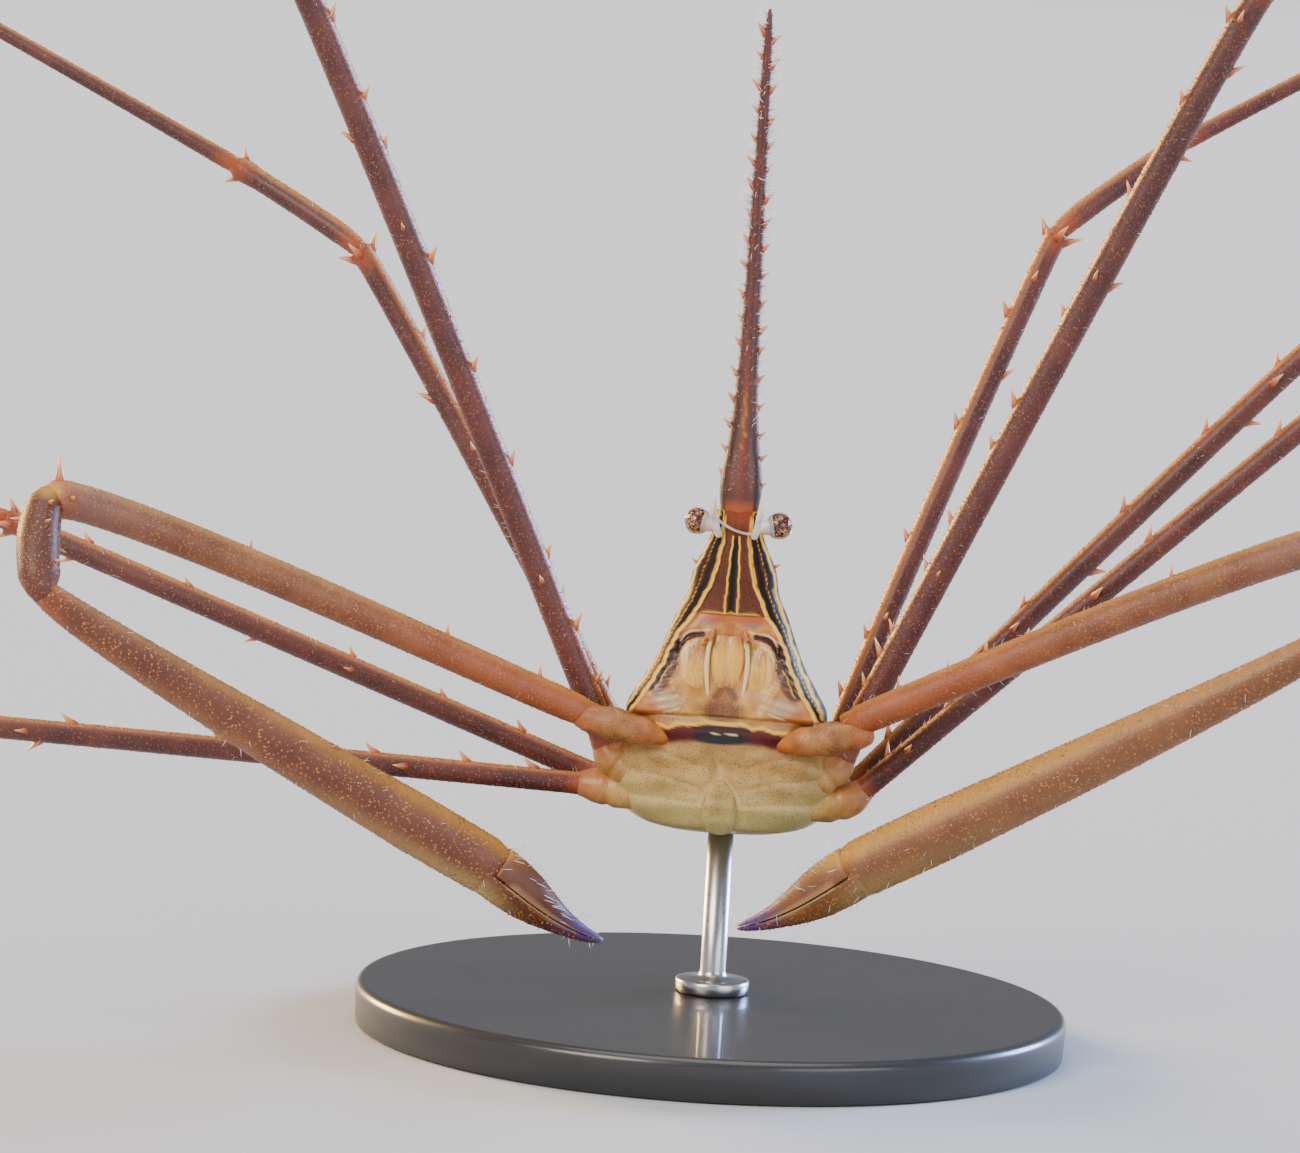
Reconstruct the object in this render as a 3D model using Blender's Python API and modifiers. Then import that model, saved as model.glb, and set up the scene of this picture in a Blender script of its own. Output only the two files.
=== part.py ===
"""Yellowline arrow crab, life size, as a display model on a round base with one short rod.

Sizes are in millimetres and become metres where a mesh is made. +Z is up, towards the tip of
the rostrum. The crab's underside faces -Y and its left side is +X. The origin is the middle of
the base's underside.
"""

import math
import random

import bmesh
import bpy
from mathutils import Vector

MM = 0.001
UP = Vector((0, 0, 1))
GAP = 0.3  # between any two pieces that meet

# Stand
BASE_RADIUS = 25.0
BASE_HEIGHT = 3.0
BASE_EDGE = 0.6
ROD_RADIUS = 0.9
ROD_FOOT_RADIUS = 2.6
ROD_FOOT_HEIGHT = 1.0
ROD_Y = 0.6

# Heights of the body's parts above the floor
BODY_BOTTOM = 14.5
STERNUM_TOP = 23.2
MOUTH_TOP = 30.6
FRONT_TOP = 37.0
ROSTRUM_TIP = 72.1

# Carapace: height, half width, y of its back, y of the edge where it meets the underside
CARAPACE = (
    (14.6, 2.6, 4.4, 2.4),
    (15.4, 3.3, 5.4, 2.3),
    (17.0, 4.2, 6.2, 2.0),
    (19.0, 5.6, 6.9, 1.1),
    (21.0, 6.8, 7.1, -0.3),
    (23.5, 7.0, 6.7, -1.2),
    (26.0, 5.9, 5.9, -1.5),
    (28.3, 4.7, 5.0, -1.5),
    (30.7, 3.4, 4.0, -1.4),
    (33.0, 2.5, 3.1, -1.1),
    (35.0, 2.0, 2.4, -0.9),
    (36.2, 1.5, 2.0, -0.8),
    (37.0, 1.5, 1.7, -0.7),
)
# Underside: height, half width, y of its face
UNDERSIDE = (
    (14.5, 4.2, -0.8),
    (15.0, 6.0, -2.4),
    (16.2, 7.5, -3.4),
    (17.8, 8.3, -3.9),
    (19.2, 8.4, -4.3),
    (20.2, 7.0, -4.6),
    (21.4, 6.1, -4.9),
    (23.2, 5.6, -5.0),
    (26.0, 5.3, -4.5),
    (28.3, 4.2, -4.0),
    (30.7, 3.0, -3.3),
    (33.0, 2.1, -2.7),
    (35.0, 1.6, -2.1),
    (37.0, 1.4, -1.7),
)
# Low swellings of the back: x, height, how far it stands out, how wide it is
BACK_REGIONS = (
    (0.0, 28.6, 0.5, 2.2),
    (0.0, 20.2, 0.6, 2.0),
    (3.7, 21.6, 0.6, 2.4),
    (-3.7, 21.6, 0.6, 2.4),
)
CHEEK_SPINE_HEIGHT = 33.6
CHEEK_SPINE_LENGTH = 0.65
SPINE_RADIUS = 0.3

# Rostrum: height, half width, half depth
ROSTRUM = (
    (37.3, 1.55, 1.2),
    (39.2, 1.42, 1.0),
    (41.6, 1.1, 0.85),
    (44.8, 0.84, 0.7),
    (49.0, 0.68, 0.6),
    (55.0, 0.55, 0.5),
    (65.0, 0.4, 0.38),
    (69.5, 0.3, 0.3),
    (72.0, 0.12, 0.12),
)
ROSTRUM_LEAN = 1.0
ROSTRUM_NARROWS = 45.0
ROSTRUM_SPINES = 17
ROSTRUM_SPINE_START = 38.9
ROSTRUM_SPINE_END = 69.6
ROSTRUM_SPINE_LENGTH = 0.95
ROSTRUM_SPINE_RADIUS = 0.24

# Eyes and antennae
EYE = (2.85, -0.5, 36.3)
EYE_RADIUS = 1.0
EYE_STALK_RADIUS = 0.5
ANTENNA_ROOT = (1.5, -2.5, 34.9)
ANTENNA_LENGTHS = (1.5, 2.6)

# Third maxillipeds: root, top and sizes of the plate that covers the mouth
MAXILLIPED_ROOT = (1.5, 24.6)
MAXILLIPED_TOP = (1.3, 30.0)
MAXILLIPED_WIDTH = 2.9
MAXILLIPED_DEPTH = 1.0

# Abdomen, folded under the body
ABDOMEN_TOP = 19.2
ABDOMEN_WIDTHS = ((14.9, 1.35), (16.2, 1.4), (17.6, 1.25), (18.6, 0.95), (19.2, 0.5))
ABDOMEN_DEPTH = 0.8

# Each limb: where its coxa ends, then length, lift above level and lean towards -Y of each
# article in turn, from the body out. Left limbs go to +X and right ones to -X.
ARTICLES = ("merus", "carpus", "propodus", "dactyl")
LIMBS = {
    "leg_2_left": ((8.0, -1.1, 20.2), ((61.7, 64.9, 3.6), (13, 10, 5), (40, -35, 8), (15, -55, 0))),
    "leg_2_right": ((-8.1, -1.1, 20.0), ((61.8, 65.1, 3.6), (13, 10, 5), (40, -35, 8), (15, -55, 0))),
    "leg_3_left": ((9.3, -0.4, 17.7), ((51.9, 43.8, 6.2), (11, 15, 8), (34, -50, 15), (13, -65, 5))),
    "leg_3_right": ((-9.3, -0.4, 17.3), ((52.1, 2.5, 6.2), (11, -5, 12), (34, -14, 60), (13, -40, 50))),
    "leg_4_left": ((8.9, 2.2, 18.0), ((45.2, 47.1, -4.9), (10, 20, -10), (32, -40, -25), (12, -60, -15))),
    "leg_4_right": ((-8.9, 2.2, 17.5), ((46.4, 19.0, -4.8), (10, 5, -10), (32, -30, -30), (12, -55, -20))),
    "leg_5_left": ((6.4, 3.6, 17.3), ((43.0, 70.2, -7.6), (11, 39, -16), (33, 30, -10), (11, -5, -5))),
    "leg_5_right": ((-6.4, 3.6, 17.3), ((42.6, 58.2, -7.6), (11.5, 29, -15), (33, 25, -6), (11, -10, -5))),
}
ISCHIUM_5_WAY = (100.0, -34.0)  # the last leg first rises beside the carapace
COXA_INNER = {2: (5.6, -1.1, 18.2), 3: (5.6, -0.4, 16.6), 4: (5.0, 1.2, 16.4), 5: (5.4, 1.2, 15.9)}
COXA_RADIUS = {2: 1.3, 3: 1.2, 4: 1.05, 5: 0.9}
LEG_RADIUS = {2: 1.0, 3: 0.8, 4: 0.85, 5: 0.82}
LEG_SPINE_LENGTH = 1.0
# Rows of spines on a merus: angle from its upper edge, 90 being to -Y, and spacing on each leg
LEG_SPINE_ROWS = (
    (0, {2: 5.2, 3: 7.5, 4: 7.0, 5: 9.0}),
    (180, {2: 15, 3: 17, 4: 17, 5: 15}),
    (80, {2: 17, 3: 17, 4: 17, 5: 17}),
    (-100, {2: 11, 3: 12, 4: 12, 5: 12}),
)
JOINT_SPINE_LENGTH = 1.15
KNEE_SPINES = (0, 100, 180)  # angles of those at the far end of a merus
WRIST_SPINES = ((0.35, 0), (0.45, 60), (0.55, -40), (0.75, 20), (0.78, -70))  # share, angle

# Chelipeds, with an ischium before the merus and a claw at the end
CLAW_ROOT = (5.9, -4.4, 22.0)
CLAW_COXA_INNER = (3.0, -3.8, 21.5)
CLAW_COXA_RADIUS = 1.2
CLAWS = {
    "cheliped_left": (
        (3.5, 24.5, 3), (38.0, 25.4, 15.2), (7.2, -100, 35), (36.8, -148.7, -8.6), (9.9, -148.3, -17.6),
    ),
    "cheliped_right": (
        (3.8, 13.5, 3), (40.0, 20.3, 15.2), (7.0, -95, 35), (35.8, -149.9, -9.7), (9.6, -147.1, -18.3),
    ),
}
CLAW_ARM_RADIUS = 1.2
CLAW_SPINE_LENGTH = 0.8
WRIST_RADIUS = 1.35
PALM_RADII = (0.9, 1.3, 1.75, 2.05, 1.95)
PALM_DEPTH_SHARE = 0.82
FINGER_RADII = (1.95, 1.8, 1.4, 0.75, 0.2)

COLOURS = {
    "shell": "#7a4a30",
    "rostrum": "#6b3a33",
    "belly": "#c9b27c",
    "mouth": "#d9a05c",
    "leg": "#7d4436",
    "claw": "#95563b",
    "finger": "#6a4a8c",
    "eye": "#9a8f88",
    "base": "#2b2b2d",
    "rod": "#a8a8aa",
}


def clear_scene():
    for thing in list(bpy.data.objects):
        bpy.data.objects.remove(thing)


def linear(channel):
    return channel / 12.92 if channel <= 0.04045 else ((channel + 0.055) / 1.055) ** 2.4


def material(finish, roughness=0.45, metallic=0.0):
    """A Principled material named for the finish, made once and shared."""
    found = bpy.data.materials.get(finish)
    if found:
        return found
    made = bpy.data.materials.new(finish)
    made.use_nodes = True
    shader = made.node_tree.nodes["Principled BSDF"]
    code = COLOURS[finish].lstrip("#")
    colour = [linear(int(code[i : i + 2], 16) / 255) for i in (0, 2, 4)]
    shader.inputs["Base Color"].default_value = (*colour, 1)
    shader.inputs["Roughness"].default_value = roughness
    shader.inputs["Metallic"].default_value = metallic
    return made


def finish_object(name, mesh, finish, roughness=0.45, metallic=0.0):
    """Puts a mesh in the crab's collection as the object called name."""
    mesh.materials.clear()
    mesh.materials.append(material(finish, roughness, metallic))
    mesh.shade_smooth()
    mesh.set_sharp_from_angle(angle=math.radians(50))
    thing = bpy.data.objects.new(name, mesh)
    crab.objects.link(thing)
    return thing


def loft(rings):
    """A closed mesh through rings of like point count, with flat ends. Points are in mm."""
    bm = bmesh.new()
    rows = [[bm.verts.new(Vector(point) * MM) for point in ring] for ring in rings]
    for lower, upper in zip(rows, rows[1:]):
        for i in range(len(lower)):
            j = (i + 1) % len(lower)
            bm.faces.new((lower[i], lower[j], upper[j], upper[i]))
    bm.faces.new(rows[0])
    bm.faces.new(rows[-1])
    bmesh.ops.recalc_face_normals(bm, faces=bm.faces)
    mesh = bpy.data.meshes.new("loft")
    bm.to_mesh(mesh)
    bm.free()
    return mesh


def largest_surface(mesh):
    """Deletes every separate surface of the mesh but the largest."""
    bm = bmesh.new()
    bm.from_mesh(mesh)
    left = set(bm.verts)
    groups = []
    while left:
        seed = left.pop()
        group = {seed}
        edge = [seed]
        while edge:
            vert = edge.pop()
            for link in vert.link_edges:
                other = link.other_vert(vert)
                if other not in group:
                    group.add(other)
                    edge.append(other)
        left -= group
        groups.append(group)
    groups.sort(key=len)
    loose = [vert for group in groups[:-1] for vert in group]
    bmesh.ops.delete(bm, geom=loose, context="VERTS")
    bm.to_mesh(mesh)
    bm.free()


def fused(mesh, pieces, solver="EXACT"):
    """The mesh joined with closed pieces by one Boolean union."""
    if not pieces:
        return mesh
    body = bpy.data.objects.new("body", mesh)
    bpy.context.scene.collection.objects.link(body)
    group = bpy.data.collections.new("pieces")
    bpy.context.scene.collection.children.link(group)
    for piece in pieces:
        group.objects.link(bpy.data.objects.new("piece", piece))
    union = body.modifiers.new("union", "BOOLEAN")
    union.operation = "UNION"
    union.solver = solver
    union.operand_type = "COLLECTION"
    union.collection = group
    bpy.context.view_layer.update()
    graph = bpy.context.evaluated_depsgraph_get()
    joined = bpy.data.meshes.new_from_object(body.evaluated_get(graph))
    for thing in list(group.objects) + [body]:
        bpy.data.objects.remove(thing)
    bpy.data.collections.remove(group)
    largest_surface(joined)
    return joined


def value_at(rows, height, column):
    """The rows' value at this height, on a smooth curve through them."""
    heights = [row[0] for row in rows]
    height = min(max(height, heights[0]), heights[-1])
    i = max(k for k in range(len(rows) - 1) if heights[k] <= height)

    def slope(k):
        low, high = max(k - 1, 0), min(k + 1, len(rows) - 1)
        return (rows[high][column] - rows[low][column]) / (heights[high] - heights[low])

    span = heights[i + 1] - heights[i]
    t = (height - heights[i]) / span
    start, end = rows[i][column], rows[i + 1][column]
    return (
        (2 * t**3 - 3 * t**2 + 1) * start
        + (t**3 - 2 * t**2 + t) * span * slope(i)
        + (3 * t**2 - 2 * t**3) * end
        + (t**3 - t**2) * span * slope(i + 1)
    )


def heights_between(bottom, top, step):
    count = max(2, round((top - bottom) / step))
    return [bottom + (top - bottom) * i / count for i in range(count + 1)]


def back_swelling(x, height):
    return sum(
        rise * math.exp(-((x - cx) ** 2 + (height - cz) ** 2) / spread**2)
        for cx, cz, rise, spread in BACK_REGIONS
    )


def half_ring(height, half_width, edge_y, face_y, power, count=18, swell=False):
    """Half an oval in the level plane, from side to side over face_y, shut along edge_y."""
    points = []
    for i in range(count + 1):
        angle = math.pi * i / count
        across = math.copysign(abs(math.cos(angle)) ** (2 / power), math.cos(angle))
        out = math.sin(angle) ** (2 / power)
        x = half_width * across
        y = edge_y + (face_y - edge_y) * out
        if swell:
            y += back_swelling(x, height) * out
        points.append((x, y, height))
    return points


def carapace_edge(height):
    return value_at(CARAPACE, height, 3)


def underside_face(height):
    return value_at(UNDERSIDE, height, 2)


def underside_mesh(bottom, top, step=0.9, power=2.6):
    rings = []
    for height in heights_between(bottom, top, step):
        half_width = value_at(UNDERSIDE, height, 1)
        edge = carapace_edge(height) - GAP
        rings.append(half_ring(height, half_width, edge, underside_face(height), power))
    return loft(rings)


def frame_of(direction, facing):
    """Two unit vectors square to direction, the second as near as can be to facing."""
    second = (facing - direction * facing.dot(direction)).normalized()
    return direction.cross(second), second


def bezier(start, end, start_way, end_way, handle, t):
    """Point and unit tangent at t of a curve that leaves and arrives along the given ways."""
    a, b, c, d = start, start + start_way * handle, end - end_way * handle, end
    point = a * (1 - t) ** 3 + b * 3 * t * (1 - t) ** 2 + c * 3 * t**2 * (1 - t) + d * t**3
    tangent = (b - a) * (1 - t) ** 2 + (c - b) * 2 * t * (1 - t) + (d - c) * t**2
    return point, tangent.normalized()


def oval(centre, across, through, half_width, half_depth, sides, clip=None):
    """A ring of points. clip keeps only the side above (+1) or below (-1) the middle."""
    points = []
    for i in range(sides):
        angle = 2 * math.pi * (i + 0.5) / sides
        u = half_width * math.cos(angle)
        if clip:
            u = clip * max(clip * u, GAP / 2)
        points.append(centre + across * u + through * half_depth * math.sin(angle))
    return points


class Article:
    """One stiff length of a limb: its ends, the ways it leaves and arrives, and its radii."""

    def __init__(self, start, end, start_way, end_way, radii, sides=8, depth=1.0):
        self.start = start + start_way * GAP / 2
        self.end = end - end_way * GAP / 2
        self.start_way = start_way
        self.end_way = end_way
        self.radii = radii
        self.sides = sides
        self.depth = depth
        self.handle = 1.6 * max(radius for _, radius in radii)

    def at(self, t):
        return bezier(self.start, self.end, self.start_way, self.end_way, self.handle, t)

    def frame(self, t):
        point, way = self.at(t)
        across, through = frame_of(way, Vector((0, -1, 0)))
        return point, way, across, through

    def radius(self, t):
        return value_at(self.radii, t, 1)

    def ring(self, t, clip=None, radius=None):
        point, _, across, through = self.frame(t)
        r = radius or self.radius(t)
        return oval(point, across, through, r, r * self.depth, self.sides, clip)

    def mesh(self, steps):
        return loft([self.ring(t) for t in steps])


def cone(root, way, length, radius, sink):
    """A thorn that stands on root and goes sink below it."""
    depth = length + sink
    bm = bmesh.new()
    bmesh.ops.create_cone(
        bm,
        cap_ends=True,
        segments=5,
        radius1=radius * depth / length * MM,
        radius2=0.02 * MM,
        depth=depth * MM,
    )
    turn = Vector((0, 0, 1)).rotation_difference(way).to_matrix().to_4x4()
    turn.translation = (root + way * (length - sink) / 2) * MM
    bm.transform(turn)
    mesh = bpy.data.meshes.new("thorn")
    bm.to_mesh(mesh)
    bm.free()
    return mesh


def ball(centre, radius, across=12, up=8, stretch=(1, 1, 1)):
    bm = bmesh.new()
    bmesh.ops.create_uvsphere(bm, u_segments=across, v_segments=up, radius=radius * MM)
    for vert in bm.verts:
        vert.co = Vector(c * s for c, s in zip(vert.co, stretch)) + Vector(centre) * MM
    mesh = bpy.data.meshes.new("ball")
    bm.to_mesh(mesh)
    bm.free()
    return mesh


def way_of(side, lift, lean):
    """Unit vector of a limb on this side, lifted above level and leaning towards -Y."""
    level = math.cos(math.radians(lean))
    return Vector(
        (
            side * level * math.cos(math.radians(lift)),
            -math.sin(math.radians(lean)),
            level * math.sin(math.radians(lift)),
        )
    )


def joints_of(root, articles, side):
    """The joints' places and each article's own way."""
    places = [Vector(root)]
    ways = []
    for length, lift, lean in articles:
        ways.append(way_of(side, lift, lean))
        places.append(places[-1] + ways[-1] * length)
    return places, ways


def between(first, second):
    return (first + second).normalized()


def thorn_on(article, t, angle, lean, length, edge=UP):
    """A thorn at t along an article, turned by angle from its side nearest to edge towards -Y."""
    point, way, across, through = article.frame(t)
    if across.dot(edge) < 0:
        across = -across
    turn = math.radians(angle)
    out = across * math.cos(turn) + through * math.sin(turn)
    root = point + out * article.radius(t) * 0.9
    sink = 0.5 * article.radius(t)
    return cone(root, (out + way * lean).normalized(), length, SPINE_RADIUS, sink)


def thorn_row(article, chance, angle, step, first, last, length):
    """Thorns along an article from first to last, shares of its length, a step in mm apart."""
    span = (article.end - article.start).length
    place = first * span + step * chance.random()
    pieces = []
    while place < last * span:
        turn = angle + chance.uniform(-12, 12)
        lean = chance.uniform(0.15, 0.5)
        size = length * chance.uniform(0.75, 1.2)
        pieces.append(thorn_on(article, place / span, turn, lean, size))
        place += step * chance.uniform(0.8, 1.25)
    return pieces


def make_stand():
    mesh = bpy.data.meshes.new("base")
    bm = bmesh.new()
    bmesh.ops.create_cone(
        bm, cap_ends=True, segments=48, radius1=BASE_RADIUS * MM, radius2=BASE_RADIUS * MM,
        depth=BASE_HEIGHT * MM,
    )
    bmesh.ops.translate(bm, verts=bm.verts, vec=(0, 0, BASE_HEIGHT / 2 * MM))
    bm.to_mesh(mesh)
    bm.free()
    base = finish_object("stand_base", mesh, "base", 0.35)
    bevel = base.modifiers.new("edge", "BEVEL")
    bevel.width = BASE_EDGE * MM
    bevel.segments = 1
    bevel.limit_method = "ANGLE"

    foot = BASE_HEIGHT + GAP
    top = BODY_BOTTOM - GAP
    profile = (
        (foot, ROD_FOOT_RADIUS),
        (foot + ROD_FOOT_HEIGHT, ROD_FOOT_RADIUS),
        (foot + 1.4 * ROD_FOOT_HEIGHT, ROD_RADIUS),
        (top, ROD_RADIUS),
    )
    across, along = Vector((1, 0, 0)), Vector((0, 1, 0))
    rings = [oval(Vector((0, ROD_Y, z)), across, along, r, r, 20) for z, r in profile]
    finish_object("stand_rod", loft(rings), "rod", 0.3, 1.0)


def make_carapace():
    rings = []
    for height in heights_between(CARAPACE[0][0], FRONT_TOP, 0.95):
        _, half_width, back, edge = (value_at(CARAPACE, height, k) for k in range(4))
        rings.append(half_ring(height, half_width, edge, back, 2.2, 20, swell=True))
    pieces = []
    for side in (1, -1):
        half_width = value_at(CARAPACE, CHEEK_SPINE_HEIGHT, 1)
        edge = carapace_edge(CHEEK_SPINE_HEIGHT)
        root = Vector((side * half_width * 0.95, edge + 0.95, CHEEK_SPINE_HEIGHT))
        way = Vector((side, -0.1, 0.75)).normalized()
        pieces.append(cone(root, way, CHEEK_SPINE_LENGTH, SPINE_RADIUS, 0.5))
    finish_object("carapace", fused(loft(rings), pieces), "shell")


def make_front():
    """The long brown plate between the mouth and the eyes, with the antennae's first joints."""
    body = underside_mesh(MOUTH_TOP + GAP, FRONT_TOP)
    pieces = []
    for side in (1, -1):
        root = Vector((side * ANTENNA_ROOT[0], *ANTENNA_ROOT[1:]))
        inner = root + Vector((-side * 0.5, 0.75, -2.2))
        steps = [(0.0, 0.55), (1.0, 0.42)]
        stub = Article(inner, root, Vector((0, 0, 1)), Vector((0, 0, 1)), steps)
        pieces.append(stub.mesh((0, 0.35, 0.7, 1)))
    finish_object("epistome", fused(body, pieces), "shell")


def make_mouth():
    finish_object("mouth_frame", underside_mesh(STERNUM_TOP + GAP, MOUTH_TOP), "belly")
    for side, name in ((1, "maxilliped_left"), (-1, "maxilliped_right")):
        rings = []
        for height in heights_between(MAXILLIPED_ROOT[1], MAXILLIPED_TOP[1], 0.7):
            t = (height - MAXILLIPED_ROOT[1]) / (MAXILLIPED_TOP[1] - MAXILLIPED_ROOT[1])
            x = MAXILLIPED_ROOT[0] + (MAXILLIPED_TOP[0] - MAXILLIPED_ROOT[0]) * t
            swell = 0.55 + 0.45 * math.sin(math.pi * (0.12 + 0.76 * t))
            half_width = MAXILLIPED_WIDTH / 2 * swell * (1 - 0.25 * t)
            half_depth = MAXILLIPED_DEPTH / 2 * swell
            y = underside_face(height) - GAP - half_depth
            centre = Vector((side * max(x, half_width + GAP / 2), y, height))
            across, through = Vector((1, 0, 0)), Vector((0, 1, 0))
            rings.append(oval(centre, across, through, half_width, half_depth, 10))
        finish_object(name, loft(rings), "mouth")


def coxa_mesh(inner, root, way, radius):
    inner_way = (Vector(root) - Vector(inner)).normalized()
    radii = [(0.0, radius), (0.6, radius * 1.08), (1.0, radius * 0.9)]
    stub = Article(Vector(inner), Vector(root), inner_way, way, radii, 10)
    return stub.mesh((0, 0.3, 0.6, 0.85, 1))


def make_sternum():
    body = underside_mesh(BODY_BOTTOM, STERNUM_TOP)
    pieces = []
    for name, (root, articles) in LIMBS.items():
        number = int(name[4])
        side = 1 if name.endswith("left") else -1
        lift, lean = ISCHIUM_5_WAY if number == 5 else articles[0][1:]
        x, y, z = COXA_INNER[number]
        way = way_of(side, lift, lean)
        pieces.append(coxa_mesh((side * x, y, z), root, way, COXA_RADIUS[number]))
    for name, articles in CLAWS.items():
        side = 1 if name.endswith("left") else -1
        inner = (side * CLAW_COXA_INNER[0], *CLAW_COXA_INNER[1:])
        root = (side * CLAW_ROOT[0], *CLAW_ROOT[1:])
        way = way_of(side, articles[0][1], articles[0][2])
        pieces.append(coxa_mesh(inner, root, way, CLAW_COXA_RADIUS))
    finish_object("sternum", fused(body, pieces), "belly")


def make_abdomen():
    rings = []
    across, through = Vector((1, 0, 0)), Vector((0, 1, 0))
    bottom = ABDOMEN_WIDTHS[0][0]
    for height in heights_between(bottom, ABDOMEN_TOP, 0.45):
        half_width = value_at(ABDOMEN_WIDTHS, height, 1)
        ridge = 1 + 0.06 * math.cos(2 * math.pi * (height - bottom) / 1.15)
        half_depth = ABDOMEN_DEPTH / 2 * ridge
        y = underside_face(height) - GAP - half_depth
        rings.append(oval(Vector((0, y, height)), across, through, half_width, half_depth, 12))
    finish_object("abdomen", loft(rings), "belly")


def rostrum_place(height):
    """Centre, half width and half depth of the rostrum at this height."""
    share = (height - ROSTRUM[0][0]) / (ROSTRUM_TIP - ROSTRUM[0][0])
    centre = Vector((0, ROSTRUM_LEAN * share, height))
    return centre, value_at(ROSTRUM, height, 1), value_at(ROSTRUM, height, 2)


def make_rostrum():
    across, through = Vector((1, 0, 0)), Vector((0, 1, 0))
    rings = []
    wide_part = heights_between(FRONT_TOP + GAP, ROSTRUM_NARROWS, 1.3)
    for height in wide_part[:-1] + heights_between(ROSTRUM_NARROWS, ROSTRUM_TIP, 3.4):
        centre, half_width, half_depth = rostrum_place(height)
        rings.append(oval(centre, across, through, half_width, half_depth, 10))
    chance = random.Random(7)
    pieces = []
    for side in (1, -1):
        for i in range(ROSTRUM_SPINES):
            share = (i + (0.0 if side > 0 else 0.35)) / ROSTRUM_SPINES
            height = ROSTRUM_SPINE_START + (ROSTRUM_SPINE_END - ROSTRUM_SPINE_START) * share
            height += chance.uniform(-0.25, 0.25)
            centre, half_width, _ = rostrum_place(height)
            way = Vector((side, chance.uniform(-0.35, 0.35), chance.uniform(0.8, 1.2))).normalized()
            root = centre + Vector((side * half_width * 0.9, 0, 0))
            length = ROSTRUM_SPINE_LENGTH * chance.uniform(0.8, 1.15)
            pieces.append(cone(root, way, length, ROSTRUM_SPINE_RADIUS, 0.7 * half_width))
    finish_object("rostrum", fused(loft(rings), pieces), "rostrum")


def make_eyes():
    for side, name in ((1, "eye_left"), (-1, "eye_right")):
        x, y, z = EYE
        centre = Vector((side * x, y, z))
        inner = Vector((side * (value_at(CARAPACE, z, 1) + GAP), y, z))
        way = Vector((side, 0, 0))
        radii = [(0.0, EYE_STALK_RADIUS), (1.0, EYE_STALK_RADIUS)]
        stalk = Article(inner, centre, way, way, radii, 10)
        finish_object(name, fused(ball(centre, EYE_RADIUS), [stalk.mesh((0, 1))]), "eye", 0.15)


def make_antennae():
    for side, name in ((1, "antenna_left"), (-1, "antenna_right")):
        root = Vector((side * ANTENNA_ROOT[0], *ANTENNA_ROOT[1:]))
        up = Vector((0, 0, 1))
        tip_way = Vector((side * 0.05, -0.1, 1)).normalized()
        end = root + up * ANTENNA_LENGTHS[0] + tip_way * ANTENNA_LENGTHS[1]
        radii = [(0.0, 0.4), (0.15, 0.33), (0.4, 0.3), (0.45, 0.24), (1.0, 0.1)]
        whip = Article(root, end, up, tip_way, radii)
        finish_object(name, whip.mesh((0, 0.15, 0.38, 0.45, 0.7, 1)), "mouth")


def leg_radii(number, part):
    """Radius along each article, as (share of its length, radius)."""
    r = LEG_RADIUS[number]
    if part == "merus":
        return [(0.0, 0.85 * r), (0.04, 0.98 * r), (0.5, r), (0.93, r), (0.975, 1.18 * r), (1.0, 1.1 * r)]
    if part == "carpus":
        return [(0.0, 0.8 * r), (0.2, 0.92 * r), (0.8, 0.88 * r), (0.94, 1.0 * r), (1.0, 0.92 * r)]
    if part == "propodus":
        return [(0.0, 0.66 * r), (0.1, 0.72 * r), (0.9, 0.58 * r), (0.97, 0.66 * r), (1.0, 0.6 * r)]
    return [(0.0, 0.5 * r), (0.3, 0.44 * r), (0.7, 0.34 * r), (1.0, 0.08 * r)]


ARTICLE_STEPS = {
    "merus": (0, 0.02, 0.045, 0.1, 0.5, 0.9, 0.955, 0.98, 1),
    "carpus": (0, 0.06, 0.16, 0.5, 0.8, 0.94, 1),
    "propodus": (0, 0.03, 0.1, 0.5, 0.9, 0.97, 1),
    "dactyl": (0, 0.08, 0.3, 0.55, 0.8, 1),
}


def make_leg(name, root, articles):
    number = int(name[4])
    side = 1 if name.endswith("left") else -1
    chance = random.Random(name)
    places, ways = joints_of(root, articles, side)
    start_ways = [ways[0]] + [between(a, b) for a, b in zip(ways, ways[1:])]
    end_ways = start_ways[1:] + [way_of(side, articles[-1][1] - 25, articles[-1][2])]
    if number == 5:
        start_ways[0] = way_of(side, *ISCHIUM_5_WAY)
    for i, part in enumerate(ARTICLES):
        article = Article(places[i], places[i + 1], start_ways[i], end_ways[i], leg_radii(number, part))
        if part == "dactyl":
            article.handle = articles[i][0] * 0.33
        thorns = []
        if part == "merus":
            for angle, steps in LEG_SPINE_ROWS:
                thorns += thorn_row(article, chance, angle, steps[number], 0.18, 0.91, LEG_SPINE_LENGTH)
            for angle in KNEE_SPINES:
                thorns.append(thorn_on(article, 0.95, angle, 0.1, JOINT_SPINE_LENGTH))
        if part == "carpus":
            for angle in (0, 180):
                thorns.append(thorn_on(article, 0.92, angle, 0.25, JOINT_SPINE_LENGTH))
        mesh = article.mesh(ARTICLE_STEPS[part])
        finish_object(f"{name}_{part}", fused(mesh, thorns), "leg")


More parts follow.
